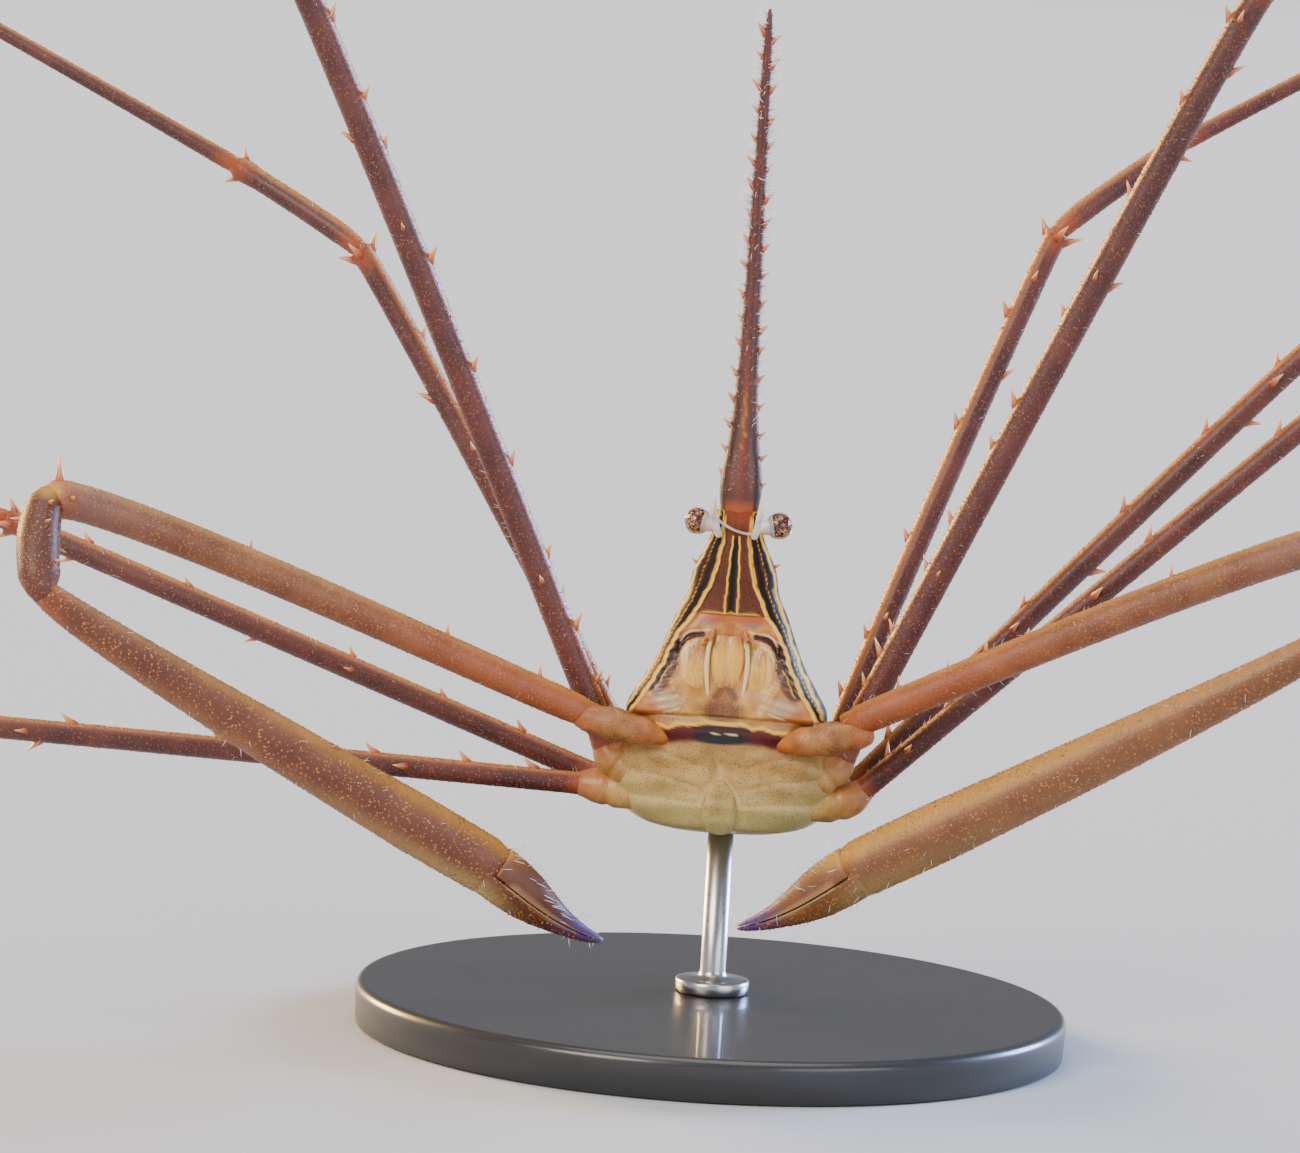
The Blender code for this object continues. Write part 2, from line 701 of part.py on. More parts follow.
def make_cheliped(name, articles):
    side = 1 if name.endswith("left") else -1
    root = (side * CLAW_ROOT[0], *CLAW_ROOT[1:])
    places, ways = joints_of(root, articles, side)
    cuts = [ways[0]] + [between(a, b) for a, b in zip(ways, ways[1:])]
    r, w = CLAW_ARM_RADIUS, WRIST_RADIUS

    radii = [(0, 0.96 * r), (0.5, 1.08 * r), (1, 1.08 * r)]
    ischium = Article(places[0], places[1], cuts[0], cuts[1], radii, 10)
    finish_object(f"{name}_ischium", ischium.mesh((0, 0.15, 0.5, 0.85, 1)), "claw")

    radii = [(0, 0.83 * r), (0.06, 0.92 * r), (0.5, r), (0.9, 1.08 * r), (1, 0.9 * r)]
    arm = Article(places[1], places[2], cuts[1], cuts[2], radii, 10)
    arm.handle = 2.6 * r
    chance = random.Random(name)
    thorns = thorn_row(arm, chance, 10, 13, 0.2, 0.85, CLAW_SPINE_LENGTH)
    thorns += thorn_row(arm, chance, -80, 9, 0.24, 0.8, CLAW_SPINE_LENGTH)
    thorns.append(thorn_on(arm, 0.915, 0, 0.1, JOINT_SPINE_LENGTH))
    thorns.append(thorn_on(arm, 0.89, 75, 0.1, CLAW_SPINE_LENGTH))
    mesh = arm.mesh((0, 0.04, 0.1, 0.5, 0.86, 0.95, 1))
    finish_object(f"{name}_merus", fused(mesh, thorns), "claw")

    radii = [(0, w * 0.85), (0.3, w * 1.08), (0.7, w * 1.08), (1, w * 0.8)]
    wrist = Article(places[2], places[3], cuts[2], cuts[3], radii, 10)
    wrist.handle = w
    outward = Vector((side, 0, 0))
    thorns = [thorn_on(wrist, t, angle, 0, CLAW_SPINE_LENGTH, outward) for t, angle in WRIST_SPINES]
    mesh = wrist.mesh((0, 0.15, 0.35, 0.65, 0.85, 1))
    finish_object(f"{name}_carpus", fused(mesh, thorns), "claw")

    make_claw(name, places[3], places[4], places[5], cuts[3], ways[3], ways[4])


def make_claw(name, wrist, knuckle, tip, start_way, palm_way, finger_way):
    """The palm with its fixed finger below, and the movable finger above it."""
    share = [(i / (len(PALM_RADII) - 1), radius) for i, radius in enumerate(PALM_RADII)]
    palm = Article(wrist, knuckle + palm_way * GAP / 2, start_way, palm_way, share, 12, PALM_DEPTH_SHARE)
    palm.handle = 2.2
    count = len(FINGER_RADII) - 1
    share = [(i / count, radius) for i, radius in enumerate(FINGER_RADII)]
    bend = between(palm_way, finger_way)
    finger = Article(knuckle, tip, bend, finger_way, share, 12, PALM_DEPTH_SHARE)
    finger.start = knuckle
    upper = 1 if palm.frame(1)[2].z > 0 else -1
    rings = [palm.ring(t) for t in (0, 0.03, 0.08, 0.25, 0.5, 0.75, 0.92, 1)]
    rings += [finger.ring(t, clip=-upper) for t in (0.004, 0.25, 0.5, 0.75, 1)]
    finish_object(f"{name}_propodus", loft(rings), "claw")
    start = GAP / (tip - knuckle).length + 0.01
    rings = [finger.ring(t, clip=upper) for t in (start, 0.25, 0.5, 0.75, 1)]
    finish_object(f"{name}_dactyl", loft(rings), "finger")


clear_scene()
crab = bpy.data.collections.new("yellowline_arrow_crab")
bpy.context.scene.collection.children.link(crab)
make_stand()
make_carapace()
make_front()
make_mouth()
make_sternum()
make_abdomen()
make_rostrum()
make_eyes()
make_antennae()
for limb, (coxa_end, lengths) in LIMBS.items():
    make_leg(limb, coxa_end, lengths)
for limb, lengths in CLAWS.items():
    make_cheliped(limb, lengths)
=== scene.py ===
# %% [markdown]
# # Yellowline arrow crab on a stand
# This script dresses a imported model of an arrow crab, a sea creature whose body is 58 mm long with
# its beak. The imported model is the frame: every piece made here sits where it says, in metres.
# Sizes are written in millimetres and multiplied by MM when a mesh is made.

import math
import random

import bmesh
import bpy
import numpy as np
from mathutils import Matrix, Vector


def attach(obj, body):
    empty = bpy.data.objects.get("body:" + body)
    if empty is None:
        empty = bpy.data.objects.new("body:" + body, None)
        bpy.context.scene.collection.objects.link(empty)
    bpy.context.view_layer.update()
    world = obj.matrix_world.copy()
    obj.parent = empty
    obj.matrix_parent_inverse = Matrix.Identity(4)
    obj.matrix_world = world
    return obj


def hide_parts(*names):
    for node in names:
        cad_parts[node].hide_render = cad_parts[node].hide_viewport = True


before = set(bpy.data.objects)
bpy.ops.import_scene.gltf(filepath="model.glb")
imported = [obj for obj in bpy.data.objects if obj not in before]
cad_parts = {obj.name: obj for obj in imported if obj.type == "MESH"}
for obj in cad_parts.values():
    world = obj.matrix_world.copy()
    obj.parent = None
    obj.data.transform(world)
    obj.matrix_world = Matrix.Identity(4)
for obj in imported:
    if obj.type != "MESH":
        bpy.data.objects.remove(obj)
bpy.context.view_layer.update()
MM = 0.001
UP, FRONT = Vector((0, 0, 1)), Vector((0, -1, 0))
BOTH_SIDES = ((1, "left"), (-1, "right"))  # the animal's left is towards +X
print("the packed model has", len(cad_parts), "nodes")


def show(name, data):
    """An object with this data, in the scene."""
    made = bpy.data.objects.new(name, data)
    bpy.context.scene.collection.objects.link(made)
    return made


# %% [markdown]
# ## The camera
# The picture was taken almost level, from a little above the animal's underside, and the camera was
# turned by a few degrees. A long lens from 400 mm keeps the depth of the picture as shallow as it
# is there. The camera's three axes are worked out from the angles, which needs no constraint.

# %% Camera
AZIMUTH, ELEVATION, ROLL = math.radians(4), math.radians(6), math.radians(3.3)
LOOK_AT, DISTANCE = Vector((-6.0365, 0.7431, 32.0589)) * MM, 400 * MM
level = Vector((math.cos(AZIMUTH), math.sin(AZIMUTH), 0))
backward = FRONT * math.cos(AZIMUTH) + Vector((math.sin(AZIMUTH), 0, 0))
backward = backward * math.cos(ELEVATION) + UP * math.sin(ELEVATION)
upright = level.cross(-backward)
right = level * math.cos(ROLL) + upright * math.sin(ROLL)
above = upright * math.cos(ROLL) - level * math.sin(ROLL)
lens = bpy.data.cameras.new("camera")
lens.sensor_width, lens.lens = 36, 158.2418
camera = show("camera", lens)
turn = Matrix((right, above, backward)).transposed().to_4x4()
camera.matrix_world = Matrix.Translation(LOOK_AT + backward * DISTANCE) @ turn
bpy.context.scene.camera = camera

# %% [markdown]
# ## Helpers for nodes
# Shader trees and geometry trees are both built from nodes. One function adds any node, with its
# settings and its links, so a tree reads from top to bottom like a recipe. Colours are written as
# the sRGB codes a paint program shows, and turned to the linear values that a renderer counts in.

# %% Node and colour helpers
FINISHES = {}


def linear(code):
    """A hex colour as linear red, green, blue and an alpha of 1."""
    out = []
    for i in (1, 3, 5):
        share = int(code[i : i + 2], 16) / 255
        out.append(share / 12.92 if share <= 0.04045 else ((share + 0.055) / 1.055) ** 2.4)
    return (*out, 1.0)


def fill(node, inputs):
    """Gives inputs, by name or number, a value, another node's socket, or a node: its first output in use."""
    for key, value in inputs.items():
        if isinstance(value, bpy.types.Node):
            value = next(socket for socket in value.outputs if socket.enabled)
        if isinstance(value, bpy.types.NodeSocket):
            node.id_data.links.new(value, node.inputs[key])
        else:
            node.inputs[key].default_value = value


def add(tree, kind, inputs=None, **settings):
    """Adds a node with its settings, and fills its inputs."""
    made = tree.nodes.new(kind)
    for key, value in settings.items():
        setattr(made, key, value)
    fill(made, inputs or {})
    return made


def new_finish(name, **sockets):
    """A material kept in FINISHES, with values on its shader's own sockets. Gives its tree and shader."""
    FINISHES[name] = made = bpy.data.materials.new(name)
    made.use_nodes = True
    shader = made.node_tree.nodes["Principled BSDF"]
    fill(shader, {title.replace("_", " "): value for title, value in sockets.items()})
    return made.node_tree, shader


# %% [markdown]
# ## The studio
# The floor is one wide pale disc whose far rim slowly turns up, so no horizon shows. The lamps are far
# away and wide, as bright clouds are, so the floor is equally pale near and far. They stand left,
# right, above and behind: the two behind give the bright edges that show how rounded the legs are.

# %% Floor and lamps
FLOOR_SIDES = 64
FLOOR_RIMS = [(30.0 + 4.0 * k, 0.01 * (2**k - 1)) for k in range(10)]  # radius and height in m
LAMPS = {
    # name: direction the light comes from, width in degrees, watts on a square metre, colour
    "key": ((-260, -380, 270), 32, 3.0, "#fff1e0"),
    "fill": ((330, -330, 110), 38, 1.5, "#eaf1ff"),
    "top": ((0, -20, 440), 50, 1.7, "#ffffff"),
    "edge_left": ((-300, 230, 80), 24, 8.5, "#ffd08a"),
    "edge_right": ((300, 230, 95), 24, 8.5, "#a8caff"),
}
turns = [2 * math.pi * i / FLOOR_SIDES for i in range(FLOOR_SIDES)]
points = [(size * math.cos(turn), size * math.sin(turn), up) for size, up in FLOOR_RIMS for turn in turns]
sheets = [range(FLOOR_SIDES)]
for k in range(0, FLOOR_SIDES * (len(FLOOR_RIMS) - 1), FLOOR_SIDES):
    for i in range(FLOOR_SIDES):
        j = (i + 1) % FLOOR_SIDES
        sheets.append((k + i, k + j, k + FLOOR_SIDES + j, k + FLOOR_SIDES + i))
paper = bpy.data.meshes.new("studio_floor")
paper.from_pydata(points, [], [list(sheet) for sheet in sheets])
new_finish("matt_paper", Base_Color=linear("#b9bcc0"), Roughness=0.9)
paper.materials.append(FINISHES["matt_paper"])
show("studio_floor", paper)

for name, (direction, width, watts, code) in LAMPS.items():
    lamp = bpy.data.lights.new(name, "SUN")
    lamp.angle, lamp.energy, lamp.color = math.radians(width), watts, linear(code)[:3]
    show(name, lamp).rotation_euler = (-Vector(direction)).to_track_quat("-Z", "Y").to_euler()
world = bpy.context.scene.world or bpy.data.worlds.new("studio")
bpy.context.scene.world = world
world.use_nodes = True
fill(world.node_tree.nodes["Background"], {"Color": linear("#dfe3e8"), "Strength": 0.36})

# %% [markdown]
# ## Shell
# A crab's skin is chitin hardened with lime. It is satin, slightly waxy where it is thin, mottled by
# clouds of pigment, and covered with fine grains. One function makes each kind of shell from two
# ground colours, so that the kinds stay related. Markings come from numbers that are painted on the
# mesh, one set for each colour of marking. Dots come from a Voronoi pattern, whose cells are as far
# apart as the real pigment spots.


# %% Shell material
def shell(name, ground, layers=(), dots=None, cloud=2.2, rough=0.4, wax=0.0, coat=0.15, shine=0.5):
    """Chitin with two ground colours under layers of (attribute, colour), one of them the dots.

    Dots are their spacing in mm, size in cells, colour, and the attribute that says where they are.
    """
    tree, shader = new_finish(
        name, IOR=1.5, Specular_IOR_Level=shine, Coat_Weight=coat, Coat_Roughness=0.25,
        Subsurface_Weight=wax, Subsurface_Radius=(1.0, 0.5, 0.25), Subsurface_Scale=1.2 * MM,
    )
    place = add(tree, "ShaderNodeTexCoord").outputs["Object"]
    clouds = add(tree, "ShaderNodeTexNoise", {"Vector": place, "Scale": 1 / (cloud * MM), "Detail": 5.0})
    share = add(tree, "ShaderNodeMapRange", {"Value": clouds, "From Min": 0.35, "From Max": 0.65})
    grounds = {0: share, 6: linear(ground[0]), 7: linear(ground[1])}
    colour = add(tree, "ShaderNodeMix", grounds, data_type="RGBA")
    for attribute, code in layers:
        if attribute != "dots":
            mask = add(tree, "ShaderNodeAttribute", attribute_name=attribute).outputs["Fac"]
        elif dots:
            spacing, size, code, where = dots
            cells = add(tree, "ShaderNodeTexVoronoi", {"Vector": place, "Scale": 1 / (spacing * MM)})
            mask = add(tree, "ShaderNodeMapRange", {"Value": cells, "From Min": size, "From Max": size * 0.6})
            if where:
                painted = add(tree, "ShaderNodeAttribute", attribute_name=where).outputs["Fac"]
                mask = add(tree, "ShaderNodeMath", {0: mask, 1: painted}, operation="MULTIPLY")
        else:
            continue
        colour = add(tree, "ShaderNodeMix", {0: mask, 6: colour, 7: linear(code)}, data_type="RGBA")
    grains = add(tree, "ShaderNodeTexNoise", {"Vector": place, "Scale": 1 / (0.16 * MM), "Detail": 3.0})
    relief = add(tree, "ShaderNodeBump", {"Height": grains, "Strength": 0.5, "Distance": 0.05 * MM})
    gloss = add(tree, "ShaderNodeMapRange", {"Value": grains, "To Min": rough - 0.1, "To Max": rough + 0.14})
    fill(shader, {"Base Color": colour, "Normal": relief, "Roughness": gloss})


MARKS = (
    ("olive", "#ccc07c"), ("lilac", "#6f5d66"), ("dots", None), ("orange", "#b04e16"), ("brown", "#4a2014"),
    ("maroon", "#560f08"), ("black", "#0e0605"), ("cream", "#ecd19a"), ("yellow", "#f2bb38"),
)
shell(
    "striped_chitin", ("#54281a", "#6b3823"), MARKS, (0.22, 0.34, "#160806", "dotted"),
    rough=0.6, coat=0.0, shine=0.22,
)
shell(
    "pale_chitin", ("#a87e3e", "#c8a45e"), MARKS, (0.2, 0.27, "#66441f", "dotted"),
    cloud=1.6, rough=0.36, wax=0.25,
)
shell(
    "mouth_chitin", ("#a46a24", "#cc9848"), MARKS, (0.19, 0.36, "#53280f", "dotted"),
    cloud=1.2, rough=0.34, wax=0.25, coat=0.2,
)
shell(
    "root_chitin", ("#85501f", "#b67c3e"), MARKS, (0.24, 0.33, "#6a3a1b", "dotted"),
    cloud=1.1, rough=0.48, wax=0.15, coat=0.05,
)
shell("red_brown_chitin", ("#3f1a16", "#57281f"), MARKS, (0.34, 0.3, "#7d4430", None))
shell(
    "limb_chitin", ("#401a17", "#5c2a22"), MARKS, (0.26, 0.26, "#6e3a2a", None),
    cloud=3.0, rough=0.46, coat=0.08,
)
shell(
    "claw_chitin", ("#6b3d26", "#8a5734"), (*MARKS, ("violet", "#43296f")), (0.3, 0.28, "#97653d", None),
    cloud=3.0, rough=0.48, coat=0.05,
)
shell("clear_chitin", ("#bdb3ad", "#dcd6d2"), MARKS, rough=0.25, wax=0.45, coat=0.4)
print("shell finishes:", ", ".join(FINISHES))

# %% [markdown]
# ## Ways to make and mark a skin
# The body is drawn as a ship's hull is: level rings, one above another, joined by faces. Tables give
# the half width and the depth at each height, and a smooth curve runs through their rows. Markings
# are lines and patches on the same millimetre grid. Each is painted on the mesh's points as a number
# from 0 to 1, which the shell materials turn into colour, so a marking stays on its ridge.


# %% Curves through tables
def table(rows, height, column):
    """The rows' value at this height, on a smooth curve through them."""
    height = min(max(height, rows[0][0]), rows[-1][0])
    i = max(k for k in range(len(rows) - 1) if rows[k][0] <= height)

    def slope(k):
        low, high = rows[max(k - 1, 0)], rows[min(k + 1, len(rows) - 1)]
        return (high[column] - low[column]) / (high[0] - low[0])

    span = rows[i + 1][0] - rows[i][0]
    t = (height - rows[i][0]) / span
    return (
        (2 * t**3 - 3 * t**2 + 1) * rows[i][column] + (t**3 - 2 * t**2 + t) * span * slope(i)
        + (3 * t**2 - 2 * t**3) * rows[i + 1][column] + (t**3 - t**2) * span * slope(i + 1)
    )


def finer(values, count):
    """More stations on a smooth curve through a few points or numbers."""
    rows = [(i, *(value if isinstance(value, tuple) else (value,))) for i, value in enumerate(values)]
    out = []
    for i in range(count):
        at = (len(rows) - 1) * i / (count - 1)
        got = [table(rows, at, k) for k in range(1, len(rows[0]))]
        out.append(tuple(got) if len(got) > 1 else got[0])
    return out


def rings_between(low, high, step, ring):
    count = round((high - low) / step)
    return [ring(low + (high - low) * i / count) for i in range(count + 1)]


# %% [markdown]
# Limbs, mouthparts and feelers are tubes: rings along a path, each square to it. A skin
# joins rings, and a piece is a finished mesh that rides on the body in place of its solid.


# %% Tubes, skins and pieces
def cross_ways(way):
    """Two ways square to a tube's way: one across it, and one through it towards the front."""
    through = (FRONT - way * FRONT.dot(way)).normalized()
    return way.cross(through), through


def way_at(path, i):
    return (path[min(i + 1, len(path) - 1)] - path[max(i - 1, 0)]).normalized()


def tube(path, widths, depths=None, sides=12, rounded=(True, True)):
    """Rings along points in mm. Rounded ends get two more rings that draw in."""
    path, depths = [Vector(point) for point in path], depths or widths
    stations = [(path[i], way_at(path, i), widths[i], depths[i]) for i in range(len(path))]
    for end, sign in ((0, -1), (-1, 1)):
        if rounded[end]:
            centre, way, width, depth = stations[end]
            out = way * sign * depth
            caps = [(centre + out * k, way, width * s, depth * s) for k, s in ((0.5, 0.84), (0.86, 0.42))]
            stations = stations + caps if end else caps[::-1] + stations
    rings = []
    for centre, way, width, depth in stations:
        across, through = cross_ways(way)
        angles = [2 * math.pi * (i + 0.5) / sides for i in range(sides)]
        rings.append([centre + across * width * math.cos(a) + through * depth * math.sin(a) for a in angles])
    return rings


def skinned(*skins):
    """A mesh with a closed skin, with flat ends, over each list of rings of points in mm."""
    bm = bmesh.new()
    for rings in skins:
        rows = [[bm.verts.new(Vector(point) * MM) for point in ring] for ring in rings]
        made = []
        for lower, upper in zip(rows, rows[1:]):
            for i in range(len(lower)):
                j = (i + 1) % len(lower)
                made.append(bm.faces.new((lower[i], lower[j], upper[j], upper[i])))
        made += [bm.faces.new(rows[0]), bm.faces.new(rows[-1])]
        bmesh.ops.recalc_face_normals(bm, faces=made)
    return bm


def piece(name, bm, finish, slot, *nodes):
    """Makes the object, rides it on the body, and hides the solids it stands for. Its slot is not used."""
    mesh = bpy.data.meshes.new(name)
    bm.to_mesh(mesh)
    bm.free()
    mesh.materials.append(FINISHES[finish])
    mesh.shade_smooth()
    return settle(show(name, mesh), slot, *nodes)


def settle(thing, slot, *nodes):
    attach(thing, "root")
    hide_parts(*nodes)
    print(f"{thing.name}: {len(thing.data.polygons)} faces")
    return thing


# %% [markdown]
# A marking is written as a rule: a function that gives its strength at points x, y and z, in mm. The
# makers below give such rules. The sides are alike, so lines and patches look at the distance from
# the middle, unless they say otherwise. Where an attribute has several rules, the strongest counts.


# %% Marking helpers
def keep_values(mesh, name, values):
    """Keeps a number or a vector at each point of a mesh."""
    kind, field = ("FLOAT_VECTOR", "vector") if np.ndim(values) == 2 else ("FLOAT", "value")
    flat = np.asarray(values, np.float32).ravel()
    mesh.attributes.new(name, kind, "POINT").data.foreach_set(field, flat)


def paint(thing, **marks):
    """Keeps each marking's value at every point. A marking is a number, a rule or a list of rules."""
    flat = np.empty(len(thing.data.vertices) * 3, np.float32)
    thing.data.vertices.foreach_get("co", flat)
    x, y, z = (flat.reshape(-1, 3) / MM).T
    for name, rules in marks.items():
        if isinstance(rules, float):
            values = np.full(x.shape, rules)
        else:
            values = strongest(*(rules if isinstance(rules, list) else [rules]))(x, y, z)
        keep_values(thing.data, name, np.clip(values, 0, 1))


def strongest(*rules):
    return lambda x, y, z: np.maximum.reduce([rule(x, y, z) for rule in rules])


def both(*rules):
    return lambda x, y, z: math.prod(rule(x, y, z) for rule in rules)


def stripe(line, half_width, soft=0.1, amount=1.0, wander=0.0):
    """A rule: amount on a line of (x, z) points, fading to 0 beyond its half width."""

    def rule(x, y, z):
        x, near = np.abs(wavy(x, z, wander)), np.full(x.shape, 1e9)
        for (ax, az), (bx, bz) in zip(line, line[1:]):
            dx, dz = bx - ax, bz - az
            t = np.clip(((x - ax) * dx + (z - az) * dz) / (dx * dx + dz * dz), 0, 1)
            near = np.minimum(near, np.hypot(x - ax - t * dx, z - az - t * dz))
        return amount * (1 - np.clip((near - half_width) / soft, 0, 1))

    return rule


def patch(centre, radii, amount=1.0, soft=0.35, mirrored=True):
    """A rule: amount inside an oval patch, fading out over a share of its size."""

    def rule(x, y, z):
        x = np.abs(x) if mirrored else x
        far = np.hypot((x - centre[0]) / radii[0], (z - centre[1]) / radii[1])
        return amount * np.clip((1 + soft - far) / (2 * soft), 0, 1)

    return rule


def ramp(start, end, amount=1.0):
    """A rule: 0 at one height, growing to amount at the other."""
    return lambda x, y, z: amount * np.clip((z - start) / (end - start), 0, 1)


def near(places, reach, amount=1.0):
    """A rule: amount close to any of the places, fading to 0 at reach mm."""

    def rule(x, y, z):
        far = [np.sqrt((x - place.x) ** 2 + (y - place.y) ** 2 + (z - place.z) ** 2) for place in places]
        return amount * np.clip(1.35 * (1 - np.minimum.reduce(far) / reach), 0, 1)

    return rule


def ribs(per_mm, shift, level, amount):
    """A rule: many fine upright lines."""
    return lambda x, y, z: amount * np.clip(2 * np.sin(np.abs(wavy(x, z)) * per_mm + shift) - level, 0, 1)


def wavy(x, z, size=0.05):
    """A small sideways wander, so that no marking is ruled."""
    return x + size * (np.sin(z * 4.1 + x) + 0.6 * np.sin(z * 9.7 + 2 * x))


# %% [markdown]
# ## The body's tables
# The back of the animal is one shield, the carapace, which curves round to a ridge on each side of
# the underside. Between the ridges lie a long front plate, the mouth field and, below them, the
# sternum that carries the legs. The heights and widths are those of the solids, with the ridge lines
# added.

# %% Tables of the body
CARAPACE = (
    # height, half width, y of its back, y of its widest line
    (14.6, 2.6, 4.4, 2.4), (15.4, 3.3, 5.4, 2.3), (17.0, 4.2, 6.2, 2.0), (19.0, 5.6, 6.9, 1.1),
    (21.0, 6.8, 7.1, -0.3), (23.3, 7.0, 6.7, -1.2), (24.6, 6.35, 6.3, -1.4), (26.3, 5.35, 5.8, -1.5),
    (28.3, 4.5, 5.0, -1.5), (30.0, 3.85, 4.3, -1.4), (31.4, 3.2, 3.7, -1.3), (33.1, 2.85, 3.1, -1.1),
    (35.0, 2.0, 2.4, -0.9), (36.2, 1.6, 2.0, -0.8), (37.2, 1.5, 1.6, -0.7),
)
UNDERSIDE = (
    # height, half width, y of its face
    (14.5, 4.2, -0.8), (15.0, 6.0, -2.4), (16.2, 7.5, -3.4), (17.8, 8.3, -3.9), (19.2, 8.4, -4.3),
    (20.2, 7.6, -4.6), (21.4, 7.0, -4.9), (23.2, 6.7, -5.0), (26.0, 5.3, -4.5), (28.3, 4.2, -4.0),
    (30.7, 3.0, -3.3), (33.0, 2.1, -2.7), (35.0, 1.6, -2.1), (36.2, 1.5, -1.7), (37.2, 1.4, -1.0),
)
RIDGE = (
    # height, half width between the ridges
    (14.6, 2.4), (19.0, 5.4), (21.5, 6.6), (23.1, 6.6), (24.9, 5.45), (26.6, 4.5), (28.2, 3.9),
    (29.0, 3.45), (30.1, 2.6), (31.2, 2.05), (32.1, 1.6), (33.2, 1.27), (35.2, 0.92), (37.2, 0.98),
)
MOUTH_BOTTOM, MOUTH_TOP, FRONT_TOP = 23.0, 30.3, 37.2


def ridge_line(offset=0.0, low=23.1, high=FRONT_TOP):
    """The ridge as (x, height) points, moved outwards by offset mm."""
    return [(half + offset, height) for height, half in RIDGE if low <= height <= high]


def between_lines(share, low=23.1, high=FRONT_TOP):
    """A line on the flank at this share of the way from the ridge to the rim."""
    points = []
    for i in range(25):
        height = low + (high - low) * i / 24
        ridge, rim = table(RIDGE, height, 1), table(CARAPACE, height, 1)
        points.append((ridge + (rim - ridge) * share, height))
    return points


def hump(distance, height, width):
    return height * math.exp(-((distance / width) ** 2))


def line_distance(x, height, line):
    """How far a point is from a line of (x, height) points."""
    best = 9.0
    for (ax, az), (bx, bz) in zip(line, line[1:]):
        t = ((x - ax) * (bx - ax) + (height - az) * (bz - az)) / ((bx - ax) ** 2 + (bz - az) ** 2)
        t = min(max(t, 0), 1)
        best = min(best, math.hypot(x - ax - t * (bx - ax), height - az - t * (bz - az)))
    return best


# %% [markdown]
# ## Carapace
# From the front only its dark flanks show, each with a yellow line along the ridge and the rim and
# a dotted one between. Its back carries pale and dark stripes that run together towards the beak,
# which is where the animal gets its name. One ring at each height goes from ridge to ridge, round
# the back.

# %% Carapace
SWELLINGS = (
    # x, height, how far it stands out, how wide it is
    (0.0, 28.6, 0.5, 2.2), (0.0, 20.2, 0.6, 2.0), (3.7, 21.6, 0.6, 2.4), (-3.7, 21.6, 0.6, 2.4),
)
BACK_STRIPES = (0.0, 0.24, 0.48, 0.72, 0.93)  # shares of the way from the middle to the side


def carapace_ring(height, flank=24, back=54):
    half, rear, rim = (table(CARAPACE, height, k) for k in (1, 2, 3))
    ridge = table(RIDGE, height, 1)
    tucked = min(max((23.4 - height) / 0.8, 0), 1)
    face = (table(UNDERSIDE, height, 2) + 0.3) * (1 - tucked) + (rim - 0.2) * tucked
    side = [(ridge * 0.95, face + min(2.0, 0.45 * (rear - face)))]
    for i in range(flank):
        angle = math.pi / 2 * i / flank
        side.append((ridge + (half - ridge) * math.sin(angle), rim + (face - rim) * math.cos(angle) ** 1.15))
    points = list(side)
    for i in range(back + 1):
        angle = math.pi * i / back
        across = math.copysign(abs(math.cos(angle)) ** 0.91, math.cos(angle)) * half
        out = math.sin(angle) ** 0.91
        lift = 0
        for x, z, rise, wide in SWELLINGS:
            lift += rise * math.exp(-((across - x) ** 2 + (height - z) ** 2) / wide**2)
        points.append((across, rim + (rear - rim) * out + lift * out))
    points += [(-x, y) for x, y in side[:0:-1] + side[:1]]
    return [(x, y, height) for x, y in points]


def on_flank(x, y, z):
    """1 on the front of the widest line, 0 behind it."""
    heights, _, _, rims = zip(*CARAPACE)
    return np.clip((np.interp(z, heights, rims) + 0.1 - y) / 0.15, 0, 1)


def back_stripes(shift, half_width, wander):
    def rule(x, y, z):
        x = np.abs(wavy(x, z, wander))
        half = np.interp(z, [row[0] for row in CARAPACE], [row[1] for row in CARAPACE])
        off = np.minimum.reduce([np.abs(x - half * (share + shift)) for share in BACK_STRIPES]) - half_width
        return (1 - np.clip(off / 0.1, 0, 1)) * (1 - on_flank(x, y, z))

    return rule


def dashes(x, y, z):
    return 0.5 + 0.5 * np.sign(np.sin(z * 20))


rim_line = [(half - 0.13, height) for height, half, _, _ in CARAPACE if height >= 23.3]
flank_yellow = strongest(
    stripe(ridge_line(0.03), 0.04, 0.07, wander=0.03),
    stripe(rim_line, 0.03, 0.08, wander=0.03),
    both(stripe(between_lines(0.55), 0.0, 0.045, wander=0.03), dashes),
    stripe(between_lines(0.8, 23.1, 32.0), 0.0, 0.05, 0.8, wander=0.03),
)
flank_black = strongest(
    stripe(between_lines(0.3), 0.14, 0.14, wander=0.04), stripe(between_lines(0.76), 0.16, 0.14, wander=0.04)
)
shell_rings = rings_between(14.6, FRONT_TOP, 0.15, carapace_ring)
carapace = piece("carapace_shell", skinned(shell_rings), "striped_chitin", "shell", "carapace")
paint(
    carapace,
    yellow=[both(flank_yellow, on_flank), back_stripes(0.0, 0.11, 0.03)],
    black=[both(flank_black, on_flank), back_stripes(0.075, 0.2, 0.04)],
    brown=lambda x, y, z: 0.75 * on_flank(x, y, z),
    dotted=0.7,
)

# %% [markdown]
# ## Front plate
# The long brown triangle between the eyes and the mouth. Two yellow lines with black between them
# run down its middle, and its ridges are yellow too. The plate is nearly flat, with its ridges
# raised, so each level ring is a flat curve to which a small bump is added at each line.

# %% Front plate
CENTRE_LINE = [(0.22, 35.5), (0.3, 34.2), (0.36, 33.1), (0.42, 31.6), (0.46, 30.3)]
ARCH = [(3.0, 29.5), (2.4, 30.05), (1.7, 30.3), (0.9, 30.28), (0.45, 30.22), (0.0, 30.32)]


